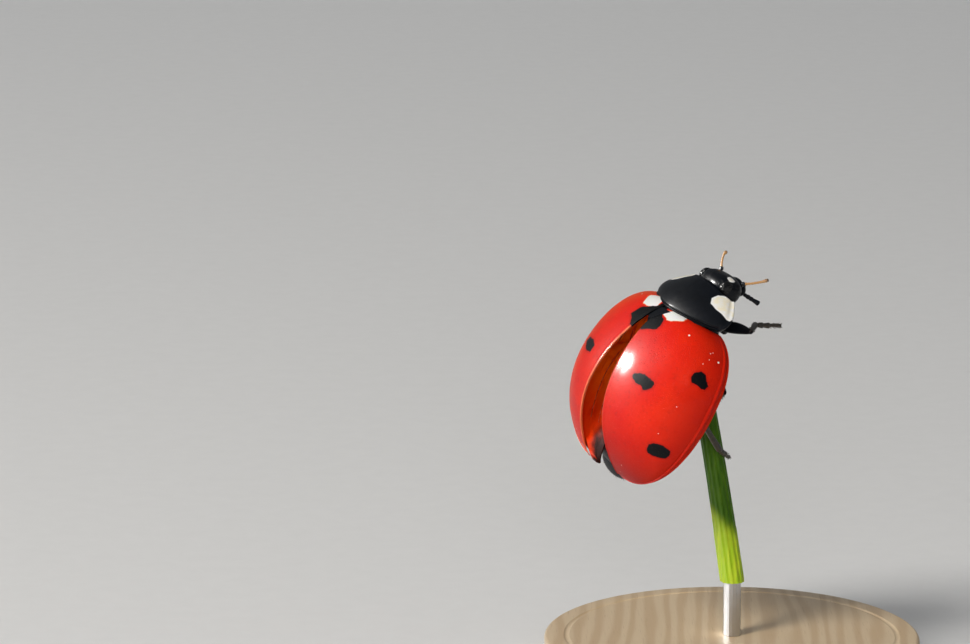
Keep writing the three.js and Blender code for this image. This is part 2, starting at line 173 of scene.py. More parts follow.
def outward(piece, merge=1e-4):
    """Doubles merged and faces turned out."""
    edit_all(piece)
    bpy.ops.mesh.remove_doubles(threshold=merge)
    bpy.ops.mesh.normals_make_consistent(inside=False)
    bpy.ops.object.mode_set(mode="OBJECT")


def modify(piece, kind, **settings):
    pick(piece)
    modifier = piece.modifiers.new(kind.title(), kind)
    for name, value in settings.items():
        setattr(modifier, name, value)
    bpy.ops.object.modifier_apply(modifier=modifier.name)


def joined(name, pieces):
    nothing_selected()
    for piece in pieces:
        piece.select_set(True)
    bpy.context.view_layer.objects.active = pieces[0]
    bpy.ops.object.join()
    pieces[0].name = pieces[0].data.name = name
    return pieces[0]


def copied(piece, name):
    twin = piece.copy()
    twin.data = piece.data.copy()
    twin.name = twin.data.name = name
    bpy.context.collection.objects.link(twin)
    return twin


def keep_lie(piece):
    """Stores each vertex's own place, in millimetres, for patterns that follow the part."""
    lie = piece.data.attributes.new("lie", "FLOAT_VECTOR", "POINT")
    for vertex, value in zip(piece.data.vertices, lie.data):
        value.vector = vertex.co


def settle(piece, matrix, material, slot, *nodes, smooth=None):
    """Puts a piece in the row frame with its finish, and lets it stand for its nodes."""
    piece.data.transform(matrix)
    if matrix.determinant() < 0:
        piece.data.flip_normals()
    piece.matrix_world = Matrix.Identity(4)
    piece.data.materials.clear()
    piece.data.materials.append(material)
    pick(piece)
    if smooth is None:
        bpy.ops.object.shade_smooth()
    else:
        bpy.ops.object.shade_smooth_by_angle(angle=math.radians(smooth))
    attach(piece, "root")
    if nodes:
        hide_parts(*nodes)
    return piece


def sheet_of(name, u_steps, v_steps, place):
    """A grid whose points are laid by place(u, v), with u and v from 0 to 1."""
    nothing_selected()
    bpy.ops.mesh.primitive_grid_add(x_subdivisions=u_steps, y_subdivisions=v_steps, size=2)
    piece = bpy.context.object
    piece.name = piece.data.name = name
    for vertex in piece.data.vertices:
        vertex.co = place((vertex.co.x + 1) / 2, (vertex.co.y + 1) / 2)
    return piece


def ball_of(name, around, along, place):
    """A ball whose points are laid by place(direction)."""
    nothing_selected()
    bpy.ops.mesh.primitive_uv_sphere_add(segments=around, ring_count=along, radius=1)
    piece = bpy.context.object
    piece.name = piece.data.name = name
    for vertex in piece.data.vertices:
        vertex.co = place(vertex.co.normalized())
    return piece


def ringed(name, rings, sides=16):
    """A closed limb drawn up from a disc; rings are (height, half width, half depth, x, y)."""
    nothing_selected()
    bpy.ops.mesh.primitive_circle_add(vertices=sides, radius=1, fill_type="NGON")
    piece = bpy.context.object
    piece.name = piece.data.name = name
    edit_all(piece)
    height, wide, deep, x, y = rings[0]
    bpy.ops.transform.resize(value=(wide, deep, 1), center_override=(0, 0, 0))
    bpy.ops.transform.translate(value=(x, y, height))
    for ring in rings[1:]:
        step = (ring[3] - x, ring[4] - y, ring[0] - height)
        bpy.ops.mesh.extrude_region_move(TRANSFORM_OT_translate={"value": step})
        bpy.ops.transform.resize(value=(ring[1] / wide, ring[2] / deep, 1),
                                 center_override=(ring[3], ring[4], ring[0]))
        height, wide, deep, x, y = ring
    bpy.ops.mesh.select_all(action="SELECT")
    bpy.ops.mesh.normals_make_consistent(inside=False)
    bpy.ops.object.mode_set(mode="OBJECT")
    return piece


def pod_rings(length, widths, flatness=1.0, bend=0.0, count=12):
    """Rings of a round-ended limb; widths(s) is its half width, with s from 0 to 1 along it."""
    rings = []
    for i in range(count + 1):
        angle = math.pi * i / count
        s = (1 - math.cos(angle)) / 2
        edge = min(1, (s + 0.004) / 0.08, (1.004 - s) / 0.08)
        cap = math.sqrt(max(1 - (1 - edge) ** 2, 0.01))
        half = widths(s) * cap
        rings.append((s * length, half, half * flatness, bend * math.sin(math.pi * s), 0))
    return rings


def between(start, end, side=Vector((0, 0, 1)), stretch=None, roll=0.0):
    """The matrix that lays a piece drawn up its own z from start to end."""
    start, end = Vector(start), Vector(end)
    ahead = (end - start).normalized()
    across = side.cross(ahead).normalized()
    over = ahead.cross(across)
    basis = Matrix((across, over, ahead)).transposed().to_4x4()
    scale = Matrix.Diagonal((1, 1, stretch or 1, 1))
    return Matrix.Translation(start) @ basis @ turn("Z", roll) @ scale


def laid(piece, start, end, **options):
    piece.data.transform(between(start, end, **options))
    return piece


def smooth_path(points, s):
    """A point at s, from 0 to 1, of the Catmull-Rom path through the points."""
    points = [Vector(p) for p in points]
    spans = len(points) - 1
    index = min(int(s * spans), spans - 1)
    t = s * spans - index
    before = points[index - 1] if index else 2 * points[0] - points[1]
    after = points[index + 2] if index + 2 <= spans else 2 * points[-1] - points[-2]
    a, b = points[index], points[index + 1]
    return 0.5 * (2 * a + (b - before) * t + (2 * before - 5 * a + 4 * b - after) * t ** 2
                  + (3 * a - before - 3 * b + after) * t ** 3)


# ---------------------------------------------------------------- forms shared by several pieces

def dome(x, most, peak, reach, curve):
    aft_power, aft_root, fore_power, fore_root = curve
    if x < peak:
        aft = min((peak - x) / (peak - CASE_TIP), 1)
        return most * (1 - aft ** aft_power) ** aft_root
    fore = min((x - peak) / reach, 1)
    return most * (1 - fore ** fore_power) ** fore_root


def case_width(x):
    return dome(x, CASE_HALF_WIDTH, CASE_WIDEST, CASE_WIDTH_REACH, WIDTH_CURVE)


def case_height(x):
    return dome(x, CASE_HEIGHT, CASE_HIGHEST, CASE_HEIGHT_REACH, HEIGHT_CURVE)


def hinge_height():
    return case_height(SCUTELLUM.x) - HINGE_DEPTH


def case_point(u, v):
    """The left wing case about its hinge: u from base to tip, v from suture to margin."""
    edge = 1 - (1 - v) ** 1.9
    front = SCUTELLUM.x - SHOULDER_CUT * edge ** 10
    x = lerp(front, CASE_TIP, 1 - (1 - u) ** 2.2)
    arch = (1 - edge ** ARCH_POWER) ** ARCH_ROOT
    return Vector((x - SCUTELLUM.x, edge * case_width(x), case_height(x) * arch - hinge_height()))


def surface_normal(point, u, v, step=0.004):
    u0, u1 = max(u - step, 0), min(u + step, 1)
    v0, v1 = max(v - step, 0), min(v + step, 1)
    along = point(u1, v) - point(u0, v)
    across = point(u, v1) - point(u, v0)
    return along.cross(across).normalized()


def case_matrix(side):
    """From a wing case's own millimetres, drawn as the left one, to the body frame."""
    opening, lift, twist = CASE_HOLD[side]
    sign = side_sign(side)
    seat = Vector((CASE_SEAT[0], sign * CASE_SEAT[1], CASE_SEAT[2]))
    return (Matrix.Translation(seat) @ turn("Z", -sign * opening) @ turn("Y", lift)
            @ turn("X", -sign * twist) @ Matrix.Diagonal((1, sign, 1, 1)))


def under_case(side, point, clearance):
    """The height that a body point may reach under the wing case of its side."""
    matrix = case_matrix(side)
    own = matrix.inverted() @ point
    x = own.x + SCUTELLUM.x
    half = case_width(x) if CASE_TIP < x < SCUTELLUM.x else 0
    if half == 0:
        return point.z
    under = max(own.y, 0)
    arch = max(1 - min(under / half, 1) ** ARCH_POWER, 0) ** ARCH_ROOT
    roof = matrix @ Vector((own.x, under, case_height(x) * arch - hinge_height()))
    return roof.z - clearance + 0.55 * max(-own.y, 0)


def shield_point(u, v):
    """A point of the pronotum: u from base to front, v from right (-1) to left (1)."""
    side = abs(v)
    middle_x = lerp(PRONOTUM_BASE.x, PRONOTUM_FRONT.x, u)
    middle_z = lerp(PRONOTUM_BASE.z, PRONOTUM_FRONT.z, u ** 1.6)
    margin_x = lerp(HIND_CORNER.x, FRONT_CORNER.x, u)
    bulge = PRONOTUM_BULGE * math.sin(math.pi * u ** 0.8)
    margin_y = lerp(HIND_CORNER.y, FRONT_CORNER.y, u ** 1.76) + bulge
    margin_z = lerp(HIND_CORNER.z, FRONT_CORNER.z, u)
    arch = max(1 - side ** 1.6, 0) ** 0.657
    return SCUTELLUM + Vector((
        lerp(middle_x, margin_x, side ** 1.56), math.copysign(side * margin_y, v),
        lerp(margin_z, middle_z, arch)))


def trunk_reach(x, angle):
    """How far the trunk reaches from its axis at x, towards that angle round it."""
    best = 0.0
    across, up = abs(math.cos(angle)), abs(math.sin(angle))
    for centre, radii, power in TRUNK_MASSES:
        left = 1 - (abs(x - centre.x) / radii.x) ** power
        if left <= 0:
            continue
        section = ((across / radii.y) ** power + (up / radii.z) ** power) ** (-1 / power)
        best = max(best, section * left ** (1 / power))
    return best


def back_height(x, y):
    """The upper side of the abdomen under the folded hind wings."""
    fore = min(abs((x - ABDOMEN_X) / WING_REACH.x), 1)
    side = min(abs(y / WING_REACH.y), 1)
    return ABDOMEN_Z + 0.05 + WING_REACH.z * max(1 - fore ** 2.4 - side ** 2.4, 0) ** (1 / 2.4)


def thorax_height(x, y):
    centre, radii, power = TRUNK_MASSES[0]
    left = 1 - abs((x - centre.x) / radii.x) ** power - abs(y / radii.y) ** power
    return centre.z + 0.03 + radii.z * max(left, 0) ** (1 / power)


def stem_centre(s):
    middle = STEM_FOOT + STEM_LEAN / 2 + Vector((STEM_BOW, 0, 0))
    tip = STEM_FOOT + STEM_LEAN
    return STEM_FOOT.lerp(middle, s).lerp(middle.lerp(tip, s), s)


class Mark:
    """A closed outline laid on a curved part, which tells how far outside it a point lies."""

    def __init__(self, *corners):
        corners = [Vector(corner) for corner in corners]
        self.centre = sum(corners, Vector()) / len(corners)
        arms = [corner - self.centre for corner in corners]
        self.size = max(arm.length for arm in arms)
        normal = sum((a.cross(b) for a, b in zip(arms, arms[1:] + arms[:1])), Vector()).normalized()
        self.across = normal.orthogonal().normalized()
        self.over = normal.cross(self.across)
        self.outline = [self.flat(corner) for corner in corners]

    def flat(self, point):
        arm = point - self.centre
        return arm.dot(self.across), arm.dot(self.over)

    def outside(self, point):
        """The distance from the outline, less than nothing inside it."""
        far = (point - self.centre).length - self.size
        if far > 0.3:
            return far
        x, y = self.flat(point)
        inside, nearest = False, far + 9
        for (ax, ay), (bx, by) in zip(self.outline, self.outline[1:] + self.outline[:1]):
            dx, dy = bx - ax, by - ay
            t = clamp(((x - ax) * dx + (y - ay) * dy) / (dx * dx + dy * dy))
            nearest = min(nearest, math.hypot(x - ax - t * dx, y - ay - t * dy))
            if (ay > y) != (by > y) and x < ax + dx * (y - ay) / dy:
                inside = not inside
        return -nearest if inside else nearest


def keep_marks(piece, name, marks):
    """Stores how far each vertex is outside the nearest of the marks, in millimetres."""
    field = piece.data.attributes.new(name, "FLOAT", "POINT")
    for vertex, value in zip(piece.data.vertices, field.data):
        value.value = min(mark.outside(vertex.co) for mark in marks)


# ---------------------------------------------------------------- finishes

class Finish:
    """A material under construction: its shader and short calls for the nodes behind it."""

    def __init__(self, name, **sockets):
        self.material = bpy.data.materials.new(name)
        self.material.use_nodes = True
        self.nodes = self.material.node_tree.nodes
        self.links = self.material.node_tree.links
        self.shader = self.nodes["Principled BSDF"]
        for socket, value in sockets.items():
            self.shader.inputs[socket.replace("_", " ")].default_value = value

    def node(self, kind, result=0, settings=(), **inputs):
        """Adds a node; inputs are values or other sockets, keyed by name or by number as n0, n1."""
        made = self.nodes.new("ShaderNode" + kind)
        for name, value in dict(settings).items():
            setattr(made, name, value)
        for name, value in inputs.items():
            numbered = name[0] == "n" and name[1:].isdigit()
            socket = made.inputs[int(name[1:]) if numbered else name.replace("_", " ")]
            if isinstance(value, bpy.types.NodeSocket):
                self.links.new(value, socket)
            else:
                socket.default_value = value
        return made.outputs[result]

    def place(self, scale=1000.0, turned=(0, 0, 0)):
        """Object coordinates, in millimetres unless another scale is asked for."""
        scales = scale if isinstance(scale, tuple) else (scale, scale, scale)
        return self.node("Mapping", Vector=self.node("TexCoord", "Object"), Scale=scales, Rotation=turned)

    def lie(self):
        """The part's own coordinates in millimetres."""
        return self.node("Attribute", "Vector", settings={"attribute_name": "lie"})

    def math(self, operation, first, second=0.0):
        return self.node("Math", settings={"operation": operation}, n0=first, n1=second)

    def noise(self, vector, scale, detail=3.0, roughness=0.55):
        return self.node("TexNoise", "Fac", Vector=vector, Scale=scale, Detail=detail, Roughness=roughness)

    def cells(self, vector, scale, feature="F1", randomness=1.0):
        return self.node("TexVoronoi", "Distance", settings={"feature": feature}, Vector=vector,
                         Scale=scale, Randomness=randomness)

    def ramp(self, factor, low, high):
        """From 0 at low to 1 at high, smoothly."""
        return self.node("MapRange", settings={"interpolation_type": "SMOOTHSTEP"}, Value=factor,
                         n1=low, n2=high)

    def between(self, factor, low, high):
        return self.node("MapRange", Value=factor, n3=low, n4=high)

    def blend(self, factor, first, second, mode="MIX"):
        settings = {"data_type": "RGBA", "blend_type": mode}
        return self.node("Mix", 2, settings, n0=factor, n6=first, n7=second)

    def near(self, vector, centre, radii, ragged=None, amount=0.0):
        """1 within the ellipsoid about the centre and 0 outside, with a ragged edge."""
        offset = self.node("VectorMath", settings={"operation": "SUBTRACT"}, n0=vector, n1=centre)
        scale = tuple(1 / r for r in radii)
        scaled = self.node("VectorMath", settings={"operation": "MULTIPLY"}, n0=offset, n1=scale)
        length = self.node("VectorMath", "Value", settings={"operation": "LENGTH"}, n0=scaled)
        if ragged is not None:
            length = self.math("ADD", length, self.math("MULTIPLY", ragged, amount))
        return length

    def colour(self, socket):
        self.links.new(socket, self.shader.inputs["Base Color"])

    def rough(self, socket):
        self.links.new(socket, self.shader.inputs["Roughness"])

    def bump(self, height, distance, strength=1.0, onto=None):
        made = self.nodes.new("ShaderNodeBump")
        made.inputs["Strength"].default_value = strength
        made.inputs["Distance"].default_value = distance * MM
        self.links.new(height, made.inputs["Height"])
        if onto is not None:
            self.links.new(onto, made.inputs["Normal"])
        self.links.new(made.outputs[0], self.shader.inputs["Normal"])
        return made.outputs[0]


# Outlines of the black spots and white flecks, in each wing case's own millimetres. The outer
# and the rear spot are alike on both; the rest is not quite even from side to side.
OUTER_SPOT = Mark((-1.51, 2.27, 0.01), (-1.32, 2.23, -0.01), (-1.18, 2.34, -0.2), (-1.21, 2.45, -0.34),
                  (-1.36, 2.53, -0.39), (-1.51, 2.62, -0.48), (-1.65, 2.61, -0.42), (-1.65, 2.54, -0.29),
                  (-1.6, 2.44, -0.17), (-1.62, 2.34, -0.04))
REAR_SPOT = Mark((-4.16, 1.79, -0.06), (-3.98, 1.85, 0.01), (-3.87, 1.98, -0.04), (-3.81, 2.23, -0.25),
                 (-3.88, 2.37, -0.48), (-4.02, 2.35, -0.56), (-4.17, 2.26, -0.55), (-4.22, 2.14, -0.43),
                 (-4.27, 1.91, -0.24), (-4.26, 1.8, -0.14))
BLACK_MARKS = {
    "right": (
        Mark((-2.31, 0.8, 0.95), (-2.19, 0.83, 0.95), (-2.1, 1.01, 0.89), (-2.08, 1.25, 0.79),
             (-2.11, 1.5, 0.67), (-2.19, 1.57, 0.63), (-2.35, 1.53, 0.66), (-2.54, 1.32, 0.75),
             (-2.43, 1.18, 0.82), (-2.44, 1.0, 0.89)),
        Mark((0.05, -0.3, 0.3), (0.05, 0.15, 0.3), (-0.16, 0.13, 0.45), (-0.28, 0.28, 0.49), (-0.32, 0.45, 0.49),
             (-0.52, 0.54, 0.59), (-0.7, 0.53, 0.69), (-0.94, 0.06, 0.84), (-0.93, -0.3, 0.83)),
        OUTER_SPOT, REAR_SPOT),
    "left": (
        Mark((-2.46, 1.56, 0.64), (-2.35, 1.09, 0.86), (-2.42, 0.77, 0.96), (-2.67, 0.74, 0.95),
             (-2.78, 1.11, 0.82), (-2.65, 1.62, 0.58)),
        Mark((0.05, -0.3, 0.3), (0.05, 0.15, 0.3), (-0.16, 0.13, 0.45), (-0.36, 0.32, 0.53), (-0.51, 0.49, 0.59),
             (-0.7, 0.5, 0.69), (-0.87, 0.53, 0.76), (-0.94, 0.31, 0.82), (-1.08, 0.11, 0.89),
             (-1.08, -0.3, 0.89)),
        OUTER_SPOT, REAR_SPOT),
}
WHITE_MARKS = {
    "right": (Mark((-0.17, 0.1, 0.43), (-0.3, 0.53, 0.46), (-0.27, 0.66, 0.39), (-0.11, 0.89, 0.13),
                   (0.06, 0.8, 0.0), (0.04, 0.4, 0.2)),),
    "left": (Mark((-0.17, 0.1, 0.43), (-0.37, 0.35, 0.54), (-0.42, 0.65, 0.5), (-0.19, 1.01, 0.16),
                  (0.05, 0.77, 0.1), (0.05, 0.3, 0.3)),),
}
DUST = (((-0.38, 1.41, 0.11), 0.034), ((-0.72, 2.37, -0.64), 0.034), ((-0.58, 2.12, -0.4), 0.017),
        ((-0.53, 2.13, -0.47), 0.015), ((-0.76, 2.24, -0.36), 0.014), ((-0.95, 2.24, -0.2), 0.016),
        ((-1.57, 2.76, -0.85), 0.018), ((-2.5, 2.31, 0.05), 0.015), ((-3.53, 2.08, 0.04), 0.016),
        ((-5.12, 0.63, -0.44), 0.018), ((-5.38, 0.33, -0.75), 0.013))


def wing_case_finish(colours, name, glow):
    """Glossy red cuticle with ragged black spots, white flecks and fine punctures, and painted light
    and shade: glow is how much more orange it is painted towards its margin, where light comes
    through; painted highlight lines run along the suture and the margin, and painted shade darkens
    it towards the tip and the outer margin, the less the more it glows."""
    f = Finish(name, Roughness=0.6, Coat_Weight=0.16, Coat_Roughness=0.17, Coat_IOR=1.45,
               Specular_IOR_Level=0.06, Subsurface_Weight=0.08, Subsurface_Scale=0.2 * MM,
               Subsurface_Radius=(1.0, 0.3, 0.08))
    lie = f.lie()
    across = f.node("SeparateXYZ", 1, n0=f.node("UVMap", settings={"uv_map": "UVMap"}))
    cloudy = f.noise(lie, 0.9, 4.0)
    fine = f.noise(lie, 7.0, 3.0)
    red = f.blend(f.ramp(cloudy, 0.3, 0.72), (*colours.case_red, 1), (*colours.case_orange, 1))
    red = f.blend(f.math("MULTIPLY", f.ramp(fine, 0.5, 0.8), 0.3), red, (*colours.case_deep_and_shade, 1))
    # Painted light: orange painted towards the margin, where light comes through the case.
    margin = f.math("MULTIPLY", f.ramp(across, 0.15, 0.75), glow)
    red = f.blend(margin, red, (*colours.case_painted_light, 1))
    # Painted highlight: a pale line painted along the suture, brighter on the glowing case.
    suture = f.ramp(across, 0.013, 0.004)
    # Painted highlight: a thin orange line painted along the outer margin.
    margin_highlight = f.math("MULTIPLY", f.ramp(across, 0.94, 0.99), 0.1 + 0.4 * glow)
    red = f.blend(f.math("MULTIPLY", suture, 0.25 + 0.4 * glow), red, (*colours.case_pale_rim_and_highlight, 1))
    red = f.blend(margin_highlight, red, (*colours.case_painted_light, 1))
    along = f.node("SeparateXYZ", 0, n0=f.node("UVMap", settings={"uv_map": "UVMap"}))
    # Painted shade: darker red towards the tip and the outer margin, where the case faces away from the light.
    shade = f.math("MAXIMUM", f.ramp(along, 0.3, 0.8), f.math("MULTIPLY", f.ramp(across, 0.35, 0.9), 0.8))
    red = f.blend(f.math("MULTIPLY", shade, 0.97 - glow), red, (*colours.case_deep_and_shade, 1))
    ragged = f.math("MULTIPLY", f.math("SUBTRACT", f.noise(lie, 5.0, 5.0, 0.65), 0.5), 0.11)
    black = f.math("ADD", f.node("Attribute", "Fac", settings={"attribute_name": "black_mark"}), ragged)
    white = f.math("ADD", f.node("Attribute", "Fac", settings={"attribute_name": "white_mark"}), ragged)
    red = f.blend(f.math("MULTIPLY", f.ramp(black, 0.1, 0.0), 0.45), red, (*colours.case_deep_and_shade, 1))
    red = f.blend(f.ramp(white, 0.035, 0.0), red, (*colours.case_pale_rim_and_highlight, 1))
    red = f.blend(f.ramp(white, 0.012, -0.012), red, (*colours.patch_white, 1))
    red = f.blend(f.ramp(black, 0.012, -0.012), red, (*colours.chitin, 1))
    dust = None
    for centre, radius in DUST:
        speck = f.near(lie, centre, (radius, radius, radius))
        dust = speck if dust is None else f.math("MINIMUM", dust, speck)
    red = f.blend(f.ramp(dust, 1.1, 0.8), red, (*colours.dust, 1))
    f.colour(red)
    f.rough(f.between(f.noise(lie, 12.0, 2.0), 0.42, 0.54))
    pits = f.ramp(f.cells(lie, 15.0), 0.1, 0.3)
    first = f.bump(pits, 0.009, 0.8)
    f.bump(f.noise(lie, 34.0, 3.0), 0.007, 0.8, first)
    return f.material


def chitin_finish(colours, name, pale=False, gloss=0.34, grain=24.0, depth=0.004):
    """Black polished cuticle with fine pits and a painted bluish sheen in cloudy patches; pale parts lie inside
    the pale marks of the piece.
    """
    f = Finish(name, Roughness=gloss, Coat_Weight=0.22, Coat_Roughness=0.1, Coat_IOR=1.4,
               Specular_IOR_Level=0.1)
    lie = f.lie()
    # Painted sheen: cloudy patches of bluish black on the black body.
    cloudy = f.noise(lie, 2.2, 3.0)
    body = f.blend(cloudy, (*colours.chitin, 1), (*colours.chitin_bluish_and_sheen, 1))
    if pale:
        ragged = f.math("MULTIPLY", f.math("SUBTRACT", f.noise(lie, 4.0, 3.0), 0.5), 0.06)
        mark = f.math("ADD", f.node("Attribute", "Fac", settings={"attribute_name": "pale_mark"}), ragged)
        cream = f.blend(f.ramp(f.noise(lie, 5.0, 2.0), 0.35, 0.7), (*colours.patch_cream, 1),
                        (*colours.patch_white, 1))
        cream = f.blend(f.ramp(mark, -0.09, -0.02), cream, (*colours.patch_white, 1))
        body = f.blend(f.ramp(mark, 0.012, -0.012), body, cream)
    f.colour(body)
    f.rough(f.between(f.noise(lie, 9.0, 3.0), gloss - 0.08, gloss + 0.14))
    pits = f.ramp(f.cells(lie, grain), 0.12, 0.35)
    first = f.bump(pits, depth, 0.6)
    f.bump(f.noise(lie, 60.0, 2.0), 0.003, 0.5, first)
    return f.material


def eye_finish(colours):
    """Black compound eye: rows of tiny domed facets under a hard gloss."""
    f = Finish("eye_facets", Roughness=0.24, Coat_Weight=0.3, Coat_Roughness=0.1, Coat_IOR=1.4,
               Specular_IOR_Level=0.3)
    lie = f.lie()
    lens = f.cells(lie, 24.0, randomness=0.35)
    f.colour(f.blend(f.ramp(lens, 0.15, 0.5), (*colours.eye_lens, 1), (*colours.chitin, 1)))
    f.bump(f.ramp(lens, 0.6, 0.05), 0.014, 0.9)
    return f.material


def horn_finish(colours, name, tone, dark_end=False):
    """Thin tan or brown cuticle, darker at joints, faintly see-through."""
    f = Finish(name, Roughness=0.38, Coat_Weight=0.3, Coat_Roughness=0.2,
               Subsurface_Weight=0.15, Subsurface_Scale=0.05 * MM, Subsurface_Radius=(1.0, 0.5, 0.25))
    place = f.place()
    streaks = f.noise(place, 14.0, 3.0)
    body = f.blend(streaks, (*tone, 1), tuple(c * 0.55 for c in tone) + (1,))
    along = f.node("Attribute", "Fac", settings={"attribute_name": "along"})
    if dark_end:
        body = f.blend(f.math("MULTIPLY", f.ramp(along, 0.82, 1.0), 0.85), body, (*colours.chitin_bluish_and_sheen, 1))
        body = f.blend(f.ramp(along, 0.1, 0.04), body, (*colours.chitin_bluish_and_sheen, 1))
    f.colour(body)
    f.rough(f.between(streaks, 0.3, 0.5))
    f.bump(f.noise(place, 45.0, 2.0), 0.004, 0.5)
    return f.material


def hind_wing_finish(colours):
    """Amber membrane, crumpled, smoky at its very tip, with painted shadow on its inner part from halfway back."""
    f = Finish("hind_wing_membrane", Roughness=0.5, Coat_Weight=0.02, Specular_IOR_Level=0.05, Coat_Roughness=0.2,
               Subsurface_Weight=0.2, Subsurface_Scale=0.1 * MM, Subsurface_Radius=(1.0, 0.4, 0.12))
    lie = f.lie()
    uv = f.node("UVMap", settings={"uv_map": "UVMap"})
    along = f.node("SeparateXYZ", 0, n0=uv)
    streaks = f.noise(f.node("Mapping", Vector=lie, Scale=(0.8, 5.0, 1.0)), 1.6, 5.0, 0.6)
    crumple = f.noise(lie, 4.0, 5.0, 0.6)
    body = f.blend(f.ramp(streaks, 0.52, 0.72), (*colours.wing_amber, 1), (*colours.wing_brown, 1))
    body = f.blend(f.math("MULTIPLY", f.ramp(crumple, 0.5, 0.75), 0.35), body, (*colours.wing_brown, 1))
    wander = f.math("MULTIPLY", f.math("SUBTRACT", crumple, 0.5), 0.3)
    reach = f.math("ADD", along, wander)
    # Painted shadow: the inner part of the membrane darkens from halfway back, where the case edge shades it; the
    # last of the tip is its own smoky colour.
    painted_shadow_inward = f.ramp(f.math("ADD", f.node("SeparateXYZ", 1, n0=uv), wander), 0.46, 0.22)
    smoke_and_shadow = f.math("MULTIPLY", f.ramp(reach, 0.45, 0.75), painted_shadow_inward)
    smoke_and_shadow = f.math("MAXIMUM", smoke_and_shadow, f.ramp(reach, 0.93, 0.99))
    body = f.blend(f.math("MULTIPLY", f.ramp(along, 0.25, 0.6), 0.8), body, (*colours.case_red, 1))
    body = f.blend(smoke_and_shadow, body, (*colours.wing_smoke_and_shadow, 1))
    f.colour(body)
    f.rough(f.between(crumple, 0.4, 0.6))
    first = f.bump(streaks, 0.05, 0.8)
    f.bump(f.noise(lie, 30.0, 2.0), 0.006, 0.4, first)
    return f.material


def stem_finish(colours):
    """Living grass stem, finely ribbed: painted sunlit yellow-green below and painted shade in dark green above,
    where the insect shades it, changing near the sheath's edge.
    """
    f = Finish("stem_skin", Roughness=0.42, Coat_Weight=0.1, Coat_Roughness=0.2, Specular_IOR_Level=0.2,
               Subsurface_Weight=0.15, Subsurface_Scale=0.3 * MM, Subsurface_Radius=(0.5, 1.0, 0.2))
    uv = f.node("UVMap", settings={"uv_map": "UVMap"})
    lie = f.lie()
    streaky = f.noise(f.node("Mapping", Vector=lie, Scale=(9.0, 9.0, 0.5)), 1.0, 4.0)
    # Painted light and shade: a slanted line over the part's own height parts the lit green below from the shaded
    # green above.
    slant = f.node("VectorMath", "Value", settings={"operation": "DOT_PRODUCT"}, n0=lie,
                   n1=(0.9, -0.3, 1.0))
    height = f.math("ADD", slant, f.math("MULTIPLY", f.math("SUBTRACT", streaky, 0.5), 0.5))
    light = f.blend(f.ramp(streaky, 0.35, 0.7), (*colours.stem_lit_green, 1), (*colours.stem_lit_rib, 1))
    dark = f.blend(f.ramp(streaky, 0.4, 0.75), (*colours.stem_shaded_green, 1), (*colours.stem_shaded_streak, 1))
    green = f.blend(f.ramp(height, 4.7, 5.25), light, dark)
    f.colour(green)
    f.rough(f.between(streaky, 0.34, 0.55))
    ribs = f.noise(f.node("Mapping", Vector=uv, Scale=(2.0, 90.0, 1.0)), 1.0, 2.0)
    first = f.bump(ribs, 0.02, 0.6)
    f.bump(f.noise(f.place(), 40.0, 2.0), 0.004, 0.4, first)
    return f.material


def pith_finish(colours):
    """Fibrous pale cut end of the stem."""
    f = Finish("stem_cut_pith", Roughness=0.75)
    place = f.place()
    fibres = f.cells(place, 14.0)
    f.colour(f.blend(f.ramp(fibres, 0.1, 0.5), (*colours.pith, 1), (*colours.stem_lit_green, 1)))
    f.bump(fibres, 0.02, 0.8)
    return f.material


def wood_finish(colours):
    """Pale close-grained maple under a satin lacquer."""
    f = Finish("maple_lacquered", Roughness=0.42, Coat_Weight=0.3, Coat_Roughness=0.2)
    turned = (0, 0, 0.5)
    wander = f.noise(f.place((300.0, 40.0, 300.0), turned), 1.0, 3.0)
    stretched = f.place((1000.0, 90.0, 1000.0), turned)
    swayed = f.node("VectorMath", settings={"operation": "MULTIPLY_ADD"}, n0=wander,
                    n1=(2.6, 0.0, 2.6), n2=stretched)
    rings = f.node("TexWave", "Fac", settings={"bands_direction": "X"}, Vector=swayed, Scale=0.62,
                   Distortion=0.6, Detail=3.0, n4=2.0)
    pores = f.noise(f.place((22000.0, 900.0, 22000.0), turned), 1.0, 3.0)
    fibres = f.noise(f.place((9000.0, 300.0, 9000.0), turned), 1.0, 4.0)
    grain = f.blend(f.ramp(rings, 0.1, 0.95), (*colours.wood_pale, 1), (*colours.wood_dark, 1))
    grain = f.blend(f.math("MULTIPLY", fibres, 0.45), grain, (*colours.wood_dark, 1))
    grain = f.blend(f.math("MULTIPLY", f.ramp(pores, 0.58, 0.75), 0.5), grain, (*colours.wood_fleck, 1))
    f.colour(grain)
    f.rough(f.between(fibres, 0.34, 0.52))
    f.bump(fibres, 0.01, 0.35)
    return f.material


def steel_finish():
    """Drawn steel, brushed along its length."""
    f = Finish("drawn_steel", Metallic=1.0, Roughness=0.28)
    brushed = f.noise(f.place((9000.0, 9000.0, 400.0)), 1.0, 3.0)
    f.colour(f.blend(brushed, (0.5, 0.51, 0.53, 1), (0.66, 0.67, 0.69, 1)))
    f.rough(f.between(brushed, 0.2, 0.4))
    f.bump(brushed, 0.004, 0.4)
    return f.material


def floor_finish():
    """Matt pale paper."""
    f = Finish("studio_paper", Roughness=0.9, Specular_IOR_Level=0.2)
    tooth = f.noise(f.place(), 1.2, 4.0)
    f.colour(f.blend(tooth, (0.72, 0.72, 0.71, 1), (0.76, 0.76, 0.75, 1)))
    f.bump(tooth, 0.01, 0.2)
    return f.material


# ---------------------------------------------------------------- settings shown in the sidebar

def colour_property(name, description, default):
    return bpy.props.FloatVectorProperty(name=name, description=description, default=default,
                                         subtype="COLOR", size=3, min=0, max=1)


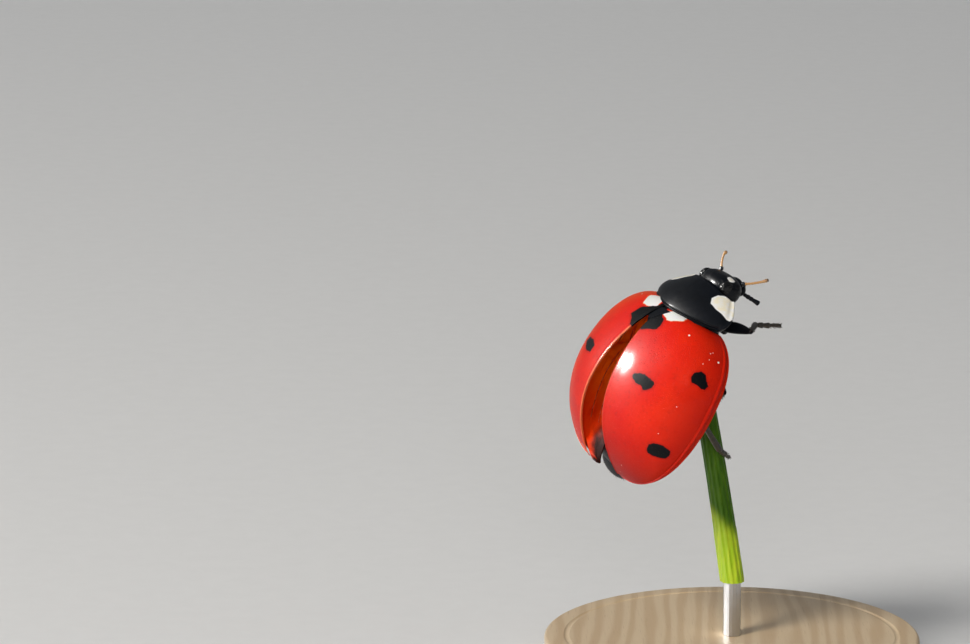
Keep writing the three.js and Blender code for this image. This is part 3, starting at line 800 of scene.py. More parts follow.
class LadybirdColours(bpy.types.PropertyGroup):
    case_red: colour_property("Wing-case red", "Main red of the wing cases", (0.72, 0.007, 0.0015))
    case_orange: colour_property("Wing-case orange", "Lighter cloudy red", (0.8, 0.016, 0.002))
    # Deep red of the fine mottling and beside the spots, also the painted shade towards the tip and the outer
    # margin of each case.
    case_deep_and_shade: colour_property("Wing-case deep red", "Red beside the spots", (0.36, 0.005, 0.002))
    # Painted light: orange painted where light comes through the case margins, and in the painted highlight line
    # along the outer margin.
    case_painted_light: colour_property("Wing-case edge", "Orange where light comes through", (0.85, 0.11, 0.008))
    # Pale rim round the white flecks, and the painted highlight line along the suture.
    case_pale_rim_and_highlight: colour_property("Wing-case rim", "Thin pale rim along the suture", (0.9, 0.3, 0.12))
    chitin: colour_property("Chitin black", "Black of the body and the spots", (0.003, 0.0035, 0.0045))
    # Painted sheen: cloudy bluish black patches stand for a sheen on the black cuticle; the feeler ends take it as
    # their own dark colour.
    chitin_bluish_and_sheen: colour_property("Chitin sheen", "Bluish black of worn cuticle", (0.006, 0.008, 0.012))
    patch_white: colour_property("Patch white", "White flecks of the wing cases", (0.86, 0.85, 0.82))
    patch_cream: colour_property("Patch cream", "Cream corners of the pronotum", (0.88, 0.81, 0.62))
    dust: colour_property("Dust", "Specks of pollen dust", (0.9, 0.82, 0.7))
    eye_lens: colour_property("Eye lens", "Facet centres", (0.01, 0.009, 0.009))
    feeler_tan: colour_property("Feeler tan", "Antennae", (0.72, 0.38, 0.13))
    hair_grey: colour_property("Hair grey", "Hairs of the legs and underside", (0.07, 0.055, 0.04))
    leg_brown: colour_property("Leg brown", "Shins and feet", (0.03, 0.026, 0.02))
    wing_amber: colour_property("Wing amber", "Hind-wing membrane near its root", (1.0, 0.17, 0.006))
    wing_brown: colour_property("Wing brown", "Folds of the hind wing", (0.66, 0.05, 0.005))
    # Smoky colour of the hind-wing tip, also the painted shadow on the membrane's inner part.
    wing_smoke_and_shadow: colour_property("Wing smoke", "Hind-wing tip", (0.03, 0.005, 0.003))
    # Lit and shaded copies of the stem's green: painted sunlit green and ribs below, painted shade in dark green
    # and its streaks above; the cut ends share the lit green.
    stem_lit_green: colour_property("Stem light", "Yellow-green foot of the stem", (0.34, 0.52, 0.015))
    stem_shaded_green: colour_property("Stem dark", "Dark green upper stem", (0.045, 0.125, 0.004))
    stem_shaded_streak: colour_property("Stem middle green", "Streaks of the upper stem", (0.09, 0.2, 0.008))
    stem_lit_rib: colour_property("Stem rib", "Pale ribs", (0.5, 0.62, 0.03))
    pith: colour_property("Pith", "Cut ends of the stem", (0.62, 0.66, 0.38))
    wood_pale: colour_property("Maple pale", "Wood between the rings", (0.72, 0.56, 0.36))
    wood_dark: colour_property("Maple dark", "Wood rings", (0.6, 0.43, 0.25))
    wood_fleck: colour_property("Maple fleck", "Fine flecks of the wood", (0.42, 0.27, 0.14))


class LadybirdSizes(bpy.types.PropertyGroup):
    hair_length: bpy.props.FloatProperty(name="Hair length", description="Longest hairs, in millimetres",
                                         default=0.13, min=0.02, max=0.4)
    hairs_per_shin: bpy.props.IntProperty(name="Hairs per shin", description="Hairs on each shin and foot",
                                          default=90, min=0, max=400)
    hairs_underneath: bpy.props.IntProperty(name="Hairs underneath", description="Hairs under the trunk",
                                            default=900, min=0, max=4000)


def colours():
    return bpy.context.scene.ladybird_colours


def sizes():
    return bpy.context.scene.ladybird_sizes


# ---------------------------------------------------------------- pieces

class PieceOperator:
    """What every step shares: it finishes, or it raises."""
    bl_options = {"REGISTER", "UNDO"}

    def execute(self, context):
        nothing_selected()
        self.make(context)
        nothing_selected()
        return {"FINISHED"}


class LADYBIRD_OT_stand(PieceOperator, bpy.types.Operator):
    """Turns the wooden base and finishes the steel rod"""
    bl_idname = "ladybird.stand"
    bl_label = "Stand"

    def make(self, context):
        bpy.ops.mesh.primitive_cylinder_add(vertices=128, radius=BASE_RADIUS, depth=BASE_HEIGHT,
                                            end_fill_type="NGON", location=(0, 0, BASE_HEIGHT / 2))
        base = context.object
        base.name = base.data.name = "stand_base_turned"
        bpy.ops.object.transform_apply(location=True, rotation=False, scale=False)
        edit_all(base)
        bpy.ops.mesh.select_all(action="DESELECT")
        bpy.ops.object.mode_set(mode="OBJECT")
        for face in base.data.polygons:
            face.select = face.normal.z > 0.9
        bpy.ops.object.mode_set(mode="EDIT")
        bpy.ops.mesh.select_mode(type="FACE")
        bpy.ops.mesh.inset(thickness=0.62, depth=0)
        bpy.ops.mesh.inset(thickness=0.09, depth=-0.07)
        bpy.ops.mesh.inset(thickness=0.09, depth=0.07)
        bpy.ops.object.mode_set(mode="OBJECT")
        modify(base, "BEVEL", width=0.16, segments=5, limit_method="ANGLE", angle_limit=math.radians(60))
        settle(base, row_to_metres(), wood_finish(colours()), "stand_wood", "stand_base", smooth=35)
        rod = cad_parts["stand_rod"]
        rod.data.materials.clear()
        rod.data.materials.append(steel_finish())


class LADYBIRD_OT_stem(PieceOperator, bpy.types.Operator):
    """Draws the ribbed grass stem with its cut ends"""
    bl_idname = "ladybird.stem"
    bl_label = "Stem"

    RIBS = 14
    CAP = 0.08

    def place(self, u, v):
        """From the middle of the upper cut, down the stem, to the middle of the lower cut."""
        cap = self.CAP
        s = clamp((1 - cap - u) / (1 - 2 * cap))
        cut = 1.0
        if u < cap:
            cut = u / cap
        elif u > 1 - cap:
            cut = (1 - u) / cap
        ahead = (stem_centre(min(s + 0.01, 1)) - stem_centre(max(s - 0.01, 0))).normalized()
        side = Vector((0, 1, 0)).cross(ahead).normalized()
        front = ahead.cross(side)
        angle = 2 * math.pi * v
        rib = 0.012 * math.cos(self.RIBS * angle) + 0.004 * math.cos(5 * angle + 9 * s)
        sheath = 0.012 * clamp((0.27 - s) / 0.01) if s < 0.27 else 0
        radius = (lerp(STEM_FOOT_RADIUS, STEM_TIP_RADIUS, s) - 0.028 + rib + sheath) * cut
        point = stem_centre(s) + front * math.cos(angle) * radius + side * math.sin(angle) * radius
        if s == 0:
            point += ahead * ((STEM_FOOT.z - point.z) / ahead.z)
        if cut < 1:
            pith = 0.03 * (1 - cut) ** 0.5 * (1 if s == 0 else -1)
            point += ahead * pith
        return point

    def make(self, context):
        skin = sheet_of("stem_skin", 90, 112, self.place)
        keep_lie(skin)
        outward(skin, 1e-5)
        settle(skin, row_to_metres(), stem_finish(colours()), "stem_green", "stem_perch", smooth=50)
        skin.data.materials.append(pith_finish(colours()))
        axis = STEM_LEAN.normalized()
        ends = (STEM_FOOT * MM, (STEM_FOOT + STEM_LEAN) * MM)
        for face in skin.data.polygons:
            at_end = min((face.center - end).length for end in ends) < STEM_FOOT_RADIUS * MM
            if at_end and abs(face.normal.dot(axis)) > 0.8:
                face.material_index = 1


class LADYBIRD_OT_wing_cases(PieceOperator, bpy.types.Operator):
    """Raises both wing cases, with their rolled rims"""
    bl_idname = "ladybird.wing_cases"
    bl_label = "Wing cases"

    def make(self, context):
        def place(u, v):
            point = case_point(u, v)
            normal = surface_normal(case_point, clamp(u, 0.004, 0.985), clamp(v, 0.004, 0.985))
            if normal.z < 0 and v < 0.9:
                normal = -normal
            margin, suture = 1 - v, v
            rim = 0.03 * math.exp(-((margin - 0.035) / 0.02) ** 2)
            groove = -0.035 * math.exp(-((margin - 0.085) / 0.022) ** 2)
            bead = 0.02 * math.exp(-((suture - 0.012) / 0.009) ** 2)
            fade = clamp(min(u, 1 - u) / 0.04)
            return point + normal * (rim + groove + bead) * fade

        # glow sets how much painted light comes through each case's margin, and weakens its painted shade.
        for side, glow in (("left", 0.85), ("right", 0.12)):
            finish = wing_case_finish(colours(), "wing_case_cuticle_" + side, glow)
            case = sheet_of("wing_case_" + side, 150, 90, place)
            keep_lie(case)
            keep_marks(case, "black_mark", BLACK_MARKS[side])
            keep_marks(case, "white_mark", WHITE_MARKS[side])
            edit_all(case)
            bpy.ops.mesh.remove_doubles(threshold=1e-4)
            bpy.ops.object.mode_set(mode="OBJECT")
            if sum(face.normal.z for face in case.data.polygons) < 0:
                case.data.flip_normals()
            wall = case.vertex_groups.new(name="wall")
            for vertex in case.data.vertices:
                from_tip = vertex.co.x + SCUTELLUM.x - CASE_TIP
                wall.add([vertex.index], clamp(from_tip / 0.5, 0.1, 1.0), "REPLACE")
            modify(case, "SOLIDIFY", thickness=CASE_SKIN, offset=-1, use_even_offset=False,
                   vertex_group="wall")
            modify(case, "BEVEL", width=0.02, segments=2, limit_method="ANGLE",
                   angle_limit=math.radians(55))
            matrix = body_to_row() @ case_matrix(side)
            settle(case, matrix, finish, "wing_case_red", "elytron_" + side, smooth=50)


class LADYBIRD_OT_hind_wings(PieceOperator, bpy.types.Operator):
    """Folds the hind wings over the abdomen and lays their veins"""
    bl_idname = "ladybird.hind_wings"
    bl_label = "Hind wings"

    @staticmethod
    def top(side, u, v):
        """The upper face of a folded wing, drawn as the left one: u from root to tip."""
        reach = 1 - (1 - u) ** 1.6
        x = lerp(WING_ROOT, WING_TIPS[side], reach)
        breadth = min(WING_BREADTH * math.sqrt(1 - reach ** 10), 0.84 * case_width(min(x, 1.6)))
        y = 0.03 + 0.13 * reach ** 8 + v * breadth
        pleat = 0.05 * math.cos(2 * math.pi * (2.2 * v + 0.5 * u)) * math.sin(math.pi * clamp(u * 1.1))
        bed = max(back_height(x, y), thorax_height(x, y))
        arched = 0.38 * clamp((v - 0.3) / 0.5) * clamp((x + 4.1) / 0.9) if side == "left" else 0
        z = bed + WING_THICKNESS * (1 - 0.25 * v ** 3) * (1 - 0.3 * u ** 4) - 0.06 + pleat + arched
        sign = side_sign(side)
        roof = under_case(side, Vector((x, sign * y, z)), CASE_SKIN + 0.06)
        return Vector((x, y, min(z, roof)))

    def make(self, context):
        finish = hind_wing_finish(colours())
        vein_finish = horn_finish(colours(), "wing_vein_horn", colours().wing_brown)
        for side in ("left", "right"):
            mirror = Matrix.Diagonal((1, side_sign(side), 1, 1))
            wing = sheet_of("hind_wing_membrane_" + side, 84, 48, lambda u, v: self.top(side, u, v))
            keep_lie(wing)
            edit_all(wing)
            bpy.ops.mesh.remove_doubles(threshold=1e-4)
            bpy.ops.object.mode_set(mode="OBJECT")
            if sum(face.normal.z for face in wing.data.polygons) < 0:
                wing.data.flip_normals()
            modify(wing, "SOLIDIFY", thickness=0.04, offset=-1)
            settle(wing, body_to_row() @ mirror, finish, "hind_wing_amber", "hind_wing_" + side, smooth=60)
            veins = []
            for lane, reach in ((0.1, 0.56), (0.3, 0.6), (0.5, 0.6), (0.72, 0.55), (0.9, 0.5)):
                points = [self.top(side, 0.02 + reach * i / 11, lane + 0.08 * math.sin(3 * i / 11))
                          for i in range(12)]
                veins += self.tube(points, 0.02)
            vein = joined("hind_wing_veins_" + side, veins)
            settle(vein, body_to_row() @ mirror, vein_finish, "hind_wing_amber")

    @staticmethod
    def tube(points, radius):
        pieces = []
        for first, second in zip(points, points[1:]):
            length = (second - first).length
            rings = [(-0.3 * radius, radius * 0.8, radius * 0.8, 0, 0), (length * 0.5, radius, radius, 0, 0),
                     (length + 0.3 * radius, radius * 0.8, radius * 0.8, 0, 0)]
            pieces.append(laid(ringed("vein_length", rings, 8), first, second))
        return pieces


PALE_CORNERS = (
    Mark((2.88, -0.84, 0.37), (3.0, -0.98, 0.05), (2.95, -1.2, -0.3), (2.65, -1.62, -0.15),
         (2.36, -1.7, 0.2), (2.38, -1.62, 0.3), (2.46, -1.44, 0.43), (2.5, -1.25, 0.57),
         (2.58, -1.01, 0.65), (2.72, -0.87, 0.58)),
    Mark((3.04, 0.41, 0.49), (3.08, 0.7, 0.2), (2.95, 1.2, -0.3), (2.65, 1.62, -0.15), (2.36, 1.7, 0.2),
         (2.42, 1.4, 0.5), (2.5, 1.1, 0.66), (2.61, 0.88, 0.69), (2.78, 0.74, 0.6), (2.9, 0.57, 0.56)),
)
FACE_SPOTS = (
    Mark((3.44, -0.39, 0.0), (3.5, -0.32, -0.18), (3.43, -0.5, -0.31), (3.39, -0.57, -0.19), (3.36, -0.56, -0.04)),
    Mark((3.41, 0.35, 0.05), (3.48, 0.33, -0.12), (3.46, 0.46, -0.28), (3.39, 0.57, -0.19), (3.36, 0.54, -0.02)),
)


class LADYBIRD_OT_pronotum(PieceOperator, bpy.types.Operator):
    """Shapes the pronotum shield with its rim and cream corners, and the scutellum"""
    bl_idname = "ladybird.pronotum"
    bl_label = "Pronotum and scutellum"

    def make(self, context):
        def point(u, v):
            return shield_point(u ** 1.3, math.sin((v - 0.5) * math.pi))

        def place(u, v):
            place_at = point(u, v)
            normal = -surface_normal(point, clamp(u, 0.01, 0.99), clamp(v, 0.01, 0.99), 0.01)
            if normal.dot(place_at - (SCUTELLUM + Vector((0.4, 0, -1.6)))) < 0:
                normal = -normal
            edge = min(v, 1 - v)
            rim = 0.02 * math.exp(-((edge - 0.03) / 0.018) ** 2) - 0.02 * math.exp(-((edge - 0.085) / 0.025) ** 2)
            base = 0.03 * math.exp(-((u - 0.04) / 0.018) ** 2) - 0.03 * math.exp(-((u - 0.095) / 0.022) ** 2)
            front = 0.012 * math.exp(-((1 - u - 0.015) / 0.012) ** 2)
            return place_at + normal * (rim + base + front)

        shield = sheet_of("pronotum_shield", 90, 110, place)
        keep_lie(shield)
        keep_marks(shield, "pale_mark", PALE_CORNERS)
        if sum(face.normal.z for face in shield.data.polygons) < 0:
            shield.data.flip_normals()
        modify(shield, "SOLIDIFY", thickness=0.13, offset=-1)
        modify(shield, "BEVEL", width=0.03, segments=2, limit_method="ANGLE", angle_limit=math.radians(55))
        finish = chitin_finish(colours(), "pronotum_cuticle", True, 0.36, 20.0)
        settle(shield, body_to_row(), finish, "black_chitin", "pronotum", smooth=50)
        self.make_scutellum()

    @staticmethod
    def make_scutellum():
        def place(u, v):
            half = 0.34 * (1 - u) ** 0.8 + 0.03
            x = lerp(1.75, 1.27, u)
            y = (v - 0.5) * 2 * half
            rim = 0.012 * math.exp(-((abs(v - 0.5) - 0.44) / 0.05) ** 2)
            return Vector((x, y, case_height(x) + SCUTELLUM_RISE - 0.02 - 0.4 * y * y + rim))

        plate = sheet_of("scutellum_plate", 16, 16, place)
        keep_lie(plate)
        if sum(face.normal.z for face in plate.data.polygons) < 0:
            plate.data.flip_normals()
        modify(plate, "SOLIDIFY", thickness=0.2, offset=-1)
        finish = chitin_finish(colours(), "scutellum_cuticle")
        settle(plate, body_to_row(), finish, "black_chitin", "scutellum", smooth=50)


class LADYBIRD_OT_head(PieceOperator, bpy.types.Operator):
    """Models the head with its clypeus, lip and jaws, and the compound eyes"""
    bl_idname = "ladybird.head"
    bl_label = "Head"

    @staticmethod
    def capsule_point(direction):
        power = 2.4
        reach = sum(abs(c) ** power for c in direction) ** (-1 / power)
        point = Vector(r * c * reach for r, c in zip(HEAD_RADII, direction))
        if point.x > 0:
            point.x -= 0.02 * math.exp(-((point.y / 0.3) ** 2) - ((point.z - 0.1) / 0.25) ** 2)
        return HEAD_CENTRE + point

    def make(self, context):
        head = ball_of("head_capsule", 96, 64, self.capsule_point)
        keep_lie(head)
        keep_marks(head, "pale_mark", FACE_SPOTS)
        finish = chitin_finish(colours(), "head_cuticle", True, 0.3, 13.0, 0.014)
        settle(head, body_to_row(), finish, "black_chitin", "head")
        lenses = eye_finish(colours())
        for side in ("left", "right"):
            sign = side_sign(side)

            def eye_point(direction):
                bean = 1 - 0.05 * math.exp(-((direction.x - 0.7) / 0.3) ** 2 - (direction.z / 0.4) ** 2)
                centre = Vector((EYE_CENTRE.x, sign * EYE_CENTRE.y, EYE_CENTRE.z))
                return centre + Vector(r * c * bean for r, c in zip(EYE_RADII, direction))

            eye = ball_of("eye_globe_" + side, 48, 32, eye_point)
            keep_lie(eye)
            settle(eye, body_to_row(), lenses, "eye_black", "eye_" + side)
        self.make_mouth()

    @staticmethod
    def make_mouth():
        def lip_point(direction):
            point = Vector((direction.x * 0.16, direction.y * 0.33, direction.z * 0.13))
            return Vector((3.34, 0, -0.8)) + point

        lip = ball_of("upper_lip", 28, 16, lip_point)
        jaws = []
        for sign in (-1, 1):
            rings = pod_rings(0.34, lambda s: 0.11 * (1 - 0.7 * s), 0.6, 0.05 * sign)
            jaws.append(laid(ringed("jaw", rings, 12), (3.24, 0.22 * sign, -0.92), (3.34, 0.02 * sign, -1.18)))

        def chin_point(direction):
            point = Vector((direction.x * 0.24, direction.y * 0.34, direction.z * 0.24))
            return Vector((3.18, 0, -0.96)) + point

        chin = ball_of("chin", 28, 16, chin_point)
        mouth = joined("mouthparts_lip_jaws_chin", [lip, chin] + jaws)
        keep_lie(mouth)
        finish = chitin_finish(colours(), "mouth_cuticle", gloss=0.38, grain=34.0)
        settle(mouth, body_to_row(), finish, "black_chitin", "mouthparts")


class LADYBIRD_OT_feelers(PieceOperator, bpy.types.Operator):
    """Strings the eleven-jointed antennae and the hatchet-ended palps"""
    bl_idname = "ladybird.feelers"
    bl_label = "Antennae and palps"

    # share of the length and half width of each joint, from the head out
    ANTENNA_JOINTS = ((0.12, 0.064), (0.08, 0.044), (0.12, 0.037), (0.09, 0.036), (0.09, 0.036),
                      (0.08, 0.036), (0.08, 0.037), (0.07, 0.039), (0.09, 0.048), (0.1, 0.056), (0.08, 0.046))
    PALP_JOINTS = ((0.16, 0.06), (0.26, 0.07), (0.18, 0.07), (0.4, 0.085))

    def chain(self, name, points, joints, flatness=1.0, hatchet=False):
        pieces, start = [], 0.0
        for index, (share, half) in enumerate(joints):
            end = start + share
            last = hatchet and index == len(joints) - 1

            def widths(s, half=half, last=last):
                return half * (0.75 + 0.35 * s) if last else half * (0.72 + 0.42 * math.sin(2.2 * s))

            a, b = smooth_path(points, clamp(start - 0.015)), smooth_path(points, clamp(end))
            rings = pod_rings((b - a).length, widths, flatness, 0, 8)
            joint = laid(ringed("joint", rings, 12), a, b)
            self.mark(joint, index / (len(joints) - 1))
            pieces.append(joint)
            start = end
        return joined(name, pieces)

    @staticmethod
    def mark(piece, value):
        """How far out along the chain a joint is, for colour."""
        along = piece.data.attributes.new("along", "FLOAT", "POINT")
        for item in along.data:
            item.value = value

    def make(self, context):
        tan = horn_finish(colours(), "feeler_horn", colours().feeler_tan, dark_end=True)
        black = chitin_finish(colours(), "palp_cuticle", grain=34.0)
        for side in ("left", "right"):
            feeler = self.chain("antenna_joints_" + side, FEELERS[side], self.ANTENNA_JOINTS)
            settle(feeler, body_to_row(), tan, "feeler_tan", "antenna_" + side)
            palp = self.chain("palp_joints_" + side, PALPS[side], self.PALP_JOINTS, 0.7, hatchet=True)
            keep_lie(palp)
            settle(palp, body_to_row(), black, "black_chitin", "palp_" + side)


class LADYBIRD_OT_trunk(PieceOperator, bpy.types.Operator):
    """Closes the trunk in one segmented skin"""
    bl_idname = "ladybird.trunk"
    bl_label = "Trunk"

    SEGMENTS = (-3.1, -2.7, -2.25, -1.7, -1.05, -0.35, 0.42, 1.2, 1.75)

    def make(self, context):
        front, tail = 2.82, -3.6

        def place(u, v):
            x = lerp(front, tail, (1 - math.cos(math.pi * u)) / 2)
            angle = 2 * math.pi * v
            reach = max(trunk_reach(x, angle), 0.001)
            groove = sum(math.exp(-((x - seam) / 0.035) ** 2) for seam in self.SEGMENTS)
            swell = 1 - 0.035 * groove
            keel = 0.05 * math.exp(-((math.sin(angle) + 1) / 0.03) ** 2)
            return Vector((x, math.cos(angle) * reach * swell,
                           math.sin(angle) * reach * (swell - keel)))

        def tail_point(direction):
            ridge = 1 - 0.03 * math.exp(-((direction.x + 0.55) / 0.06) ** 2)
            return TAIL_CENTRE + Vector(r * c * ridge for r, c in zip(TAIL_RADII, direction))

        skin = sheet_of("trunk_skin", 160, 96, place)
        outward(skin)
        trunk = joined("trunk_skin", [skin, ball_of("tail", 48, 32, tail_point)])
        keep_lie(trunk)
        finish = chitin_finish(colours(), "trunk_cuticle", gloss=0.38, grain=16.0)
        settle(trunk, body_to_row(), finish, "black_chitin", "thorax", "prothorax", "abdomen")


class LADYBIRD_OT_legs(PieceOperator, bpy.types.Operator):
    """Models one leg's parts and poses six copies"""
    bl_idname = "ladybird.legs"
    bl_label = "Legs"

    def make(self, context):
        patterns = self.patterns()
        black = chitin_finish(colours(), "leg_cuticle", grain=30.0)
        brown = horn_finish(colours(), "shin_horn", colours().leg_brown)
        for leg, (hip, knee, ankle, toe) in LEGS.items():
            hip, knee, ankle, toe = (Vector(p) for p in (hip, knee, ankle, toe))
            self.thigh(leg, patterns, hip, knee, black)
            self.shin(leg, patterns, knee, ankle, brown)
            self.foot(leg, patterns, ankle, toe, brown)
        for pattern in patterns.values():
            bpy.data.objects.remove(pattern)

    @staticmethod
    def patterns():
        def thigh(s):
            return lerp(0.13, 0.07, s) + 0.085 * math.sin(math.pi * min(s + 0.08, 1)) ** 0.8

        def shin(s):
            return 0.082 + 0.035 * s ** 1.3

        return {
            "thigh": ringed("thigh", pod_rings(1, thigh, 0.72, 0.03, 16), 20),
            "shin": ringed("shin", pod_rings(1, shin, 0.92, -0.04, 14), 16),
            "hip": ringed("hip", pod_rings(0.36, lambda s: 0.2, 0.8, 0, 8), 16),
            "ring": ringed("ring", pod_rings(0.18, lambda s: 0.12, 0.9, 0, 6), 14),
            "wedge": ringed("wedge", pod_rings(1, lambda s: 0.06 + 0.045 * s, 0.85, 0, 8), 12),
            "lobe": ringed("lobe", pod_rings(1, lambda s: 0.06 + 0.045 * s, 0.8, 0, 8), 12),
            "slip": ringed("slip", pod_rings(1, lambda s: 0.05 + 0.02 * s, 0.95, 0.02, 8), 12),
            "spur": ringed("spur", [(0, 0.02, 0.02, 0, 0), (0.08, 0.012, 0.012, 0, 0),
                                    (0.13, 0.003, 0.003, 0.01, 0)], 8),
            "claw": ringed("claw", [(0, 0.022, 0.018, 0, 0), (0.035, 0.019, 0.015, 0.004, 0),
                                    (0.065, 0.013, 0.011, 0.016, 0), (0.09, 0.007, 0.007, 0.034, 0),
                                    (0.105, 0.002, 0.002, 0.052, 0)], 10),
        }

    @staticmethod
    def part(patterns, kind, start, end, stretch=None, roll=0.0):
        return laid(copied(patterns[kind], kind), start, end, stretch=stretch, roll=roll)

    def thigh(self, leg, patterns, hip, knee, finish):
        axis = (knee - hip)
        inner = hip - Vector((0, math.copysign(0.12, hip.y), 0))
        pieces = [
            self.part(patterns, "thigh", hip, knee, axis.length + 0.08),
            self.part(patterns, "hip", inner, inner + Vector((0, math.copysign(0.3, hip.y), -0.06))),
            self.part(patterns, "ring", hip.lerp(knee, 0.06), hip.lerp(knee, 0.2)),
        ]
        thigh = joined("thigh_" + leg, pieces)
        keep_lie(thigh)
        settle(thigh, body_to_row(), finish, "black_chitin", "femur_" + leg)

    def shin(self, leg, patterns, knee, ankle, finish):
        axis = (ankle - knee).normalized()
        pieces = [self.part(patterns, "shin", knee - axis * 0.05, ankle, (ankle - knee).length + 0.08)]
        for spread in (-0.05, 0.05):
            root = ankle - axis * 0.02 + Vector((0, spread, 0))
            pieces.append(self.part(patterns, "spur", root, root + axis * 0.1 + Vector((0, spread, -0.02))))
        shin = joined("shin_" + leg, pieces)
        settle(shin, body_to_row(), finish, "leg_brown", "tibia_" + leg)

    def foot(self, leg, patterns, ankle, toe, finish):
        axis = toe - ankle
        length = axis.length - 0.1
        ahead = axis.normalized()
        stations = [ankle + ahead * length * s for s in (0.0, 0.26, 0.52, 1.0)]
        down = Vector((0, 0, -1)) if abs(ahead.z) < 0.9 else Vector((1, 0, 0))
        pieces = []
        for kind, first, second in zip(("wedge", "lobe", "slip"), stations, stations[1:]):
            pieces.append(self.part(patterns, kind, first, second, (second - first).length + 0.06))
        across = ahead.cross(down).normalized()
        for spread in (-1, 1):
            root = stations[-1] + across * 0.02 * spread
            pieces.append(self.part(patterns, "claw", root, root + ahead + across * 0.45 * spread, 1, 90 * spread))
        foot = joined("foot_" + leg, pieces)
        settle(foot, body_to_row(), finish, "leg_brown", "tarsus_" + leg)


class LADYBIRD_OT_hairs(PieceOperator, bpy.types.Operator):
    """Plants short hairs on the shins and feet, under the trunk and round the tail"""
    bl_idname = "ladybird.hairs"
    bl_label = "Hairs"

    STRAND_LENGTH = 0.1
    PATCH = 0.003

    def make(self, context):
        self.chance = random.Random(11)
        finish = horn_finish(colours(), "hair_horn", colours().hair_grey)
        for name, hairs in (("leg_hairs", self.leg_hairs()), ("trunk_hairs", self.trunk_hairs()),
                            ("tail_hairs", self.tail_hairs())):
            coat = self.plant(name, hairs)
            settle(coat, body_to_row(), finish, "leg_brown")

    def strand(self):
        """One tapered and bent hair, drawn once: its points and its faces."""
        rings = [(0, 0.008, 0.008, 0, 0), (0.05, 0.006, 0.006, 0.004, 0), (0.1, 0.001, 0.001, 0.02, 0)]
        hair = ringed("strand", rings, 4)
        points = [vertex.co.copy() for vertex in hair.data.vertices]
        faces = [tuple(face.vertices) for face in hair.data.polygons]
        bpy.data.objects.remove(hair)
        return points, faces

    def plant(self, name, hairs):
        """Joins a copy of the strand at each root: (root, outward, backward, length, map place)."""
        points, faces = self.strand()
        laid_points, laid_faces, laid_map = [], [], []
        for root, outward_way, backward, length, place in hairs:
            ahead = (outward_way * 0.5 + backward).normalized()
            across = outward_way.cross(ahead).normalized()
            bend = ahead.cross(across)
            size = length / self.STRAND_LENGTH
            first = len(laid_points)
            laid_points += [root + (bend * p.x + across * p.y + ahead * p.z) * size for p in points]
            for face in faces:
                laid_faces.append([first + index for index in face])
                laid_map += [(place[0] + points[i].x / 0.03 * self.PATCH,
                              place[1] + points[i].z / self.STRAND_LENGTH * self.PATCH) for i in face]
        mesh = bpy.data.meshes.new(name)
        mesh.from_pydata(laid_points, [], laid_faces)
        unwrap = mesh.uv_layers.new(name="OFBake")
        for corner, place in zip(unwrap.data, laid_map):
            corner.uv = place
        coat = bpy.data.objects.new(name, mesh)
        bpy.context.collection.objects.link(coat)
        return coat

    def some(self, low, high):
        return self.chance.uniform(low, high)

    def leg_hairs(self):
        """Each shin and foot has its own strip of the unwrap."""
        hairs, strips = [], 2 * len(LEGS)
        for number, (_, knee, ankle, toe) in enumerate(LEGS.values()):
            for part, (start, end, half) in enumerate(((knee, ankle, 0.082), (ankle, toe, 0.062))):
                start, end = Vector(start), Vector(end)
                ahead = (end - start).normalized()
                side = ahead.orthogonal().normalized()
                over = ahead.cross(side)
                for _ in range(sizes().hairs_per_shin):
                    s, around = self.some(0.08, 0.92), self.some(0, 1)
                    angle = 2 * math.pi * around
                    way = side * math.cos(angle) + over * math.sin(angle)
                    root = start.lerp(end, s) + way * half * 0.9
                    place = (0.02 + 0.96 * s, (2 * number + part + 0.1 + 0.8 * around) / strips)
                    length = sizes().hair_length * self.some(0.35, 0.75)
                    hairs.append((root, way, ahead, length, place))
        return hairs

    def trunk_hairs(self):
        """The underside, unrolled from front to tail and from side to side."""
        hairs = []
        for _ in range(sizes().hairs_underneath):
            x, around = self.some(-3.4, 2.5), self.some(0.54, 0.96)
            angle = 2 * math.pi * around
            reach = trunk_reach(x, angle) * 0.97
            way = Vector((0, math.cos(angle), math.sin(angle)))
            root = Vector((x, way.y * reach, way.z * reach))
            place = (0.05 + 0.9 * (x + 3.4) / 5.9, around)
            hairs.append((root, way, Vector((-1, 0, 0)), sizes().hair_length * self.some(0.5, 0.9), place))
        return hairs

    def tail_hairs(self):
        """A fringe round the last segment."""
        hairs = []
        for _ in range(90):
            turned, tilt = self.some(0.32, 0.68), self.some(-0.45, 0.45)
            angle = 2 * math.pi * turned
            way = Vector((math.cos(angle) * math.cos(tilt), math.sin(angle) * math.cos(tilt), math.sin(tilt)))
            root = TAIL_CENTRE + Vector(r * c * 0.97 for r, c in zip(TAIL_RADII, way))
            place = (0.05 + 0.9 * turned, 0.5 + tilt)
            hairs.append((root, way, Vector((-0.6, 0, 0)), sizes().hair_length * self.some(0.35, 0.7), place))
        return hairs


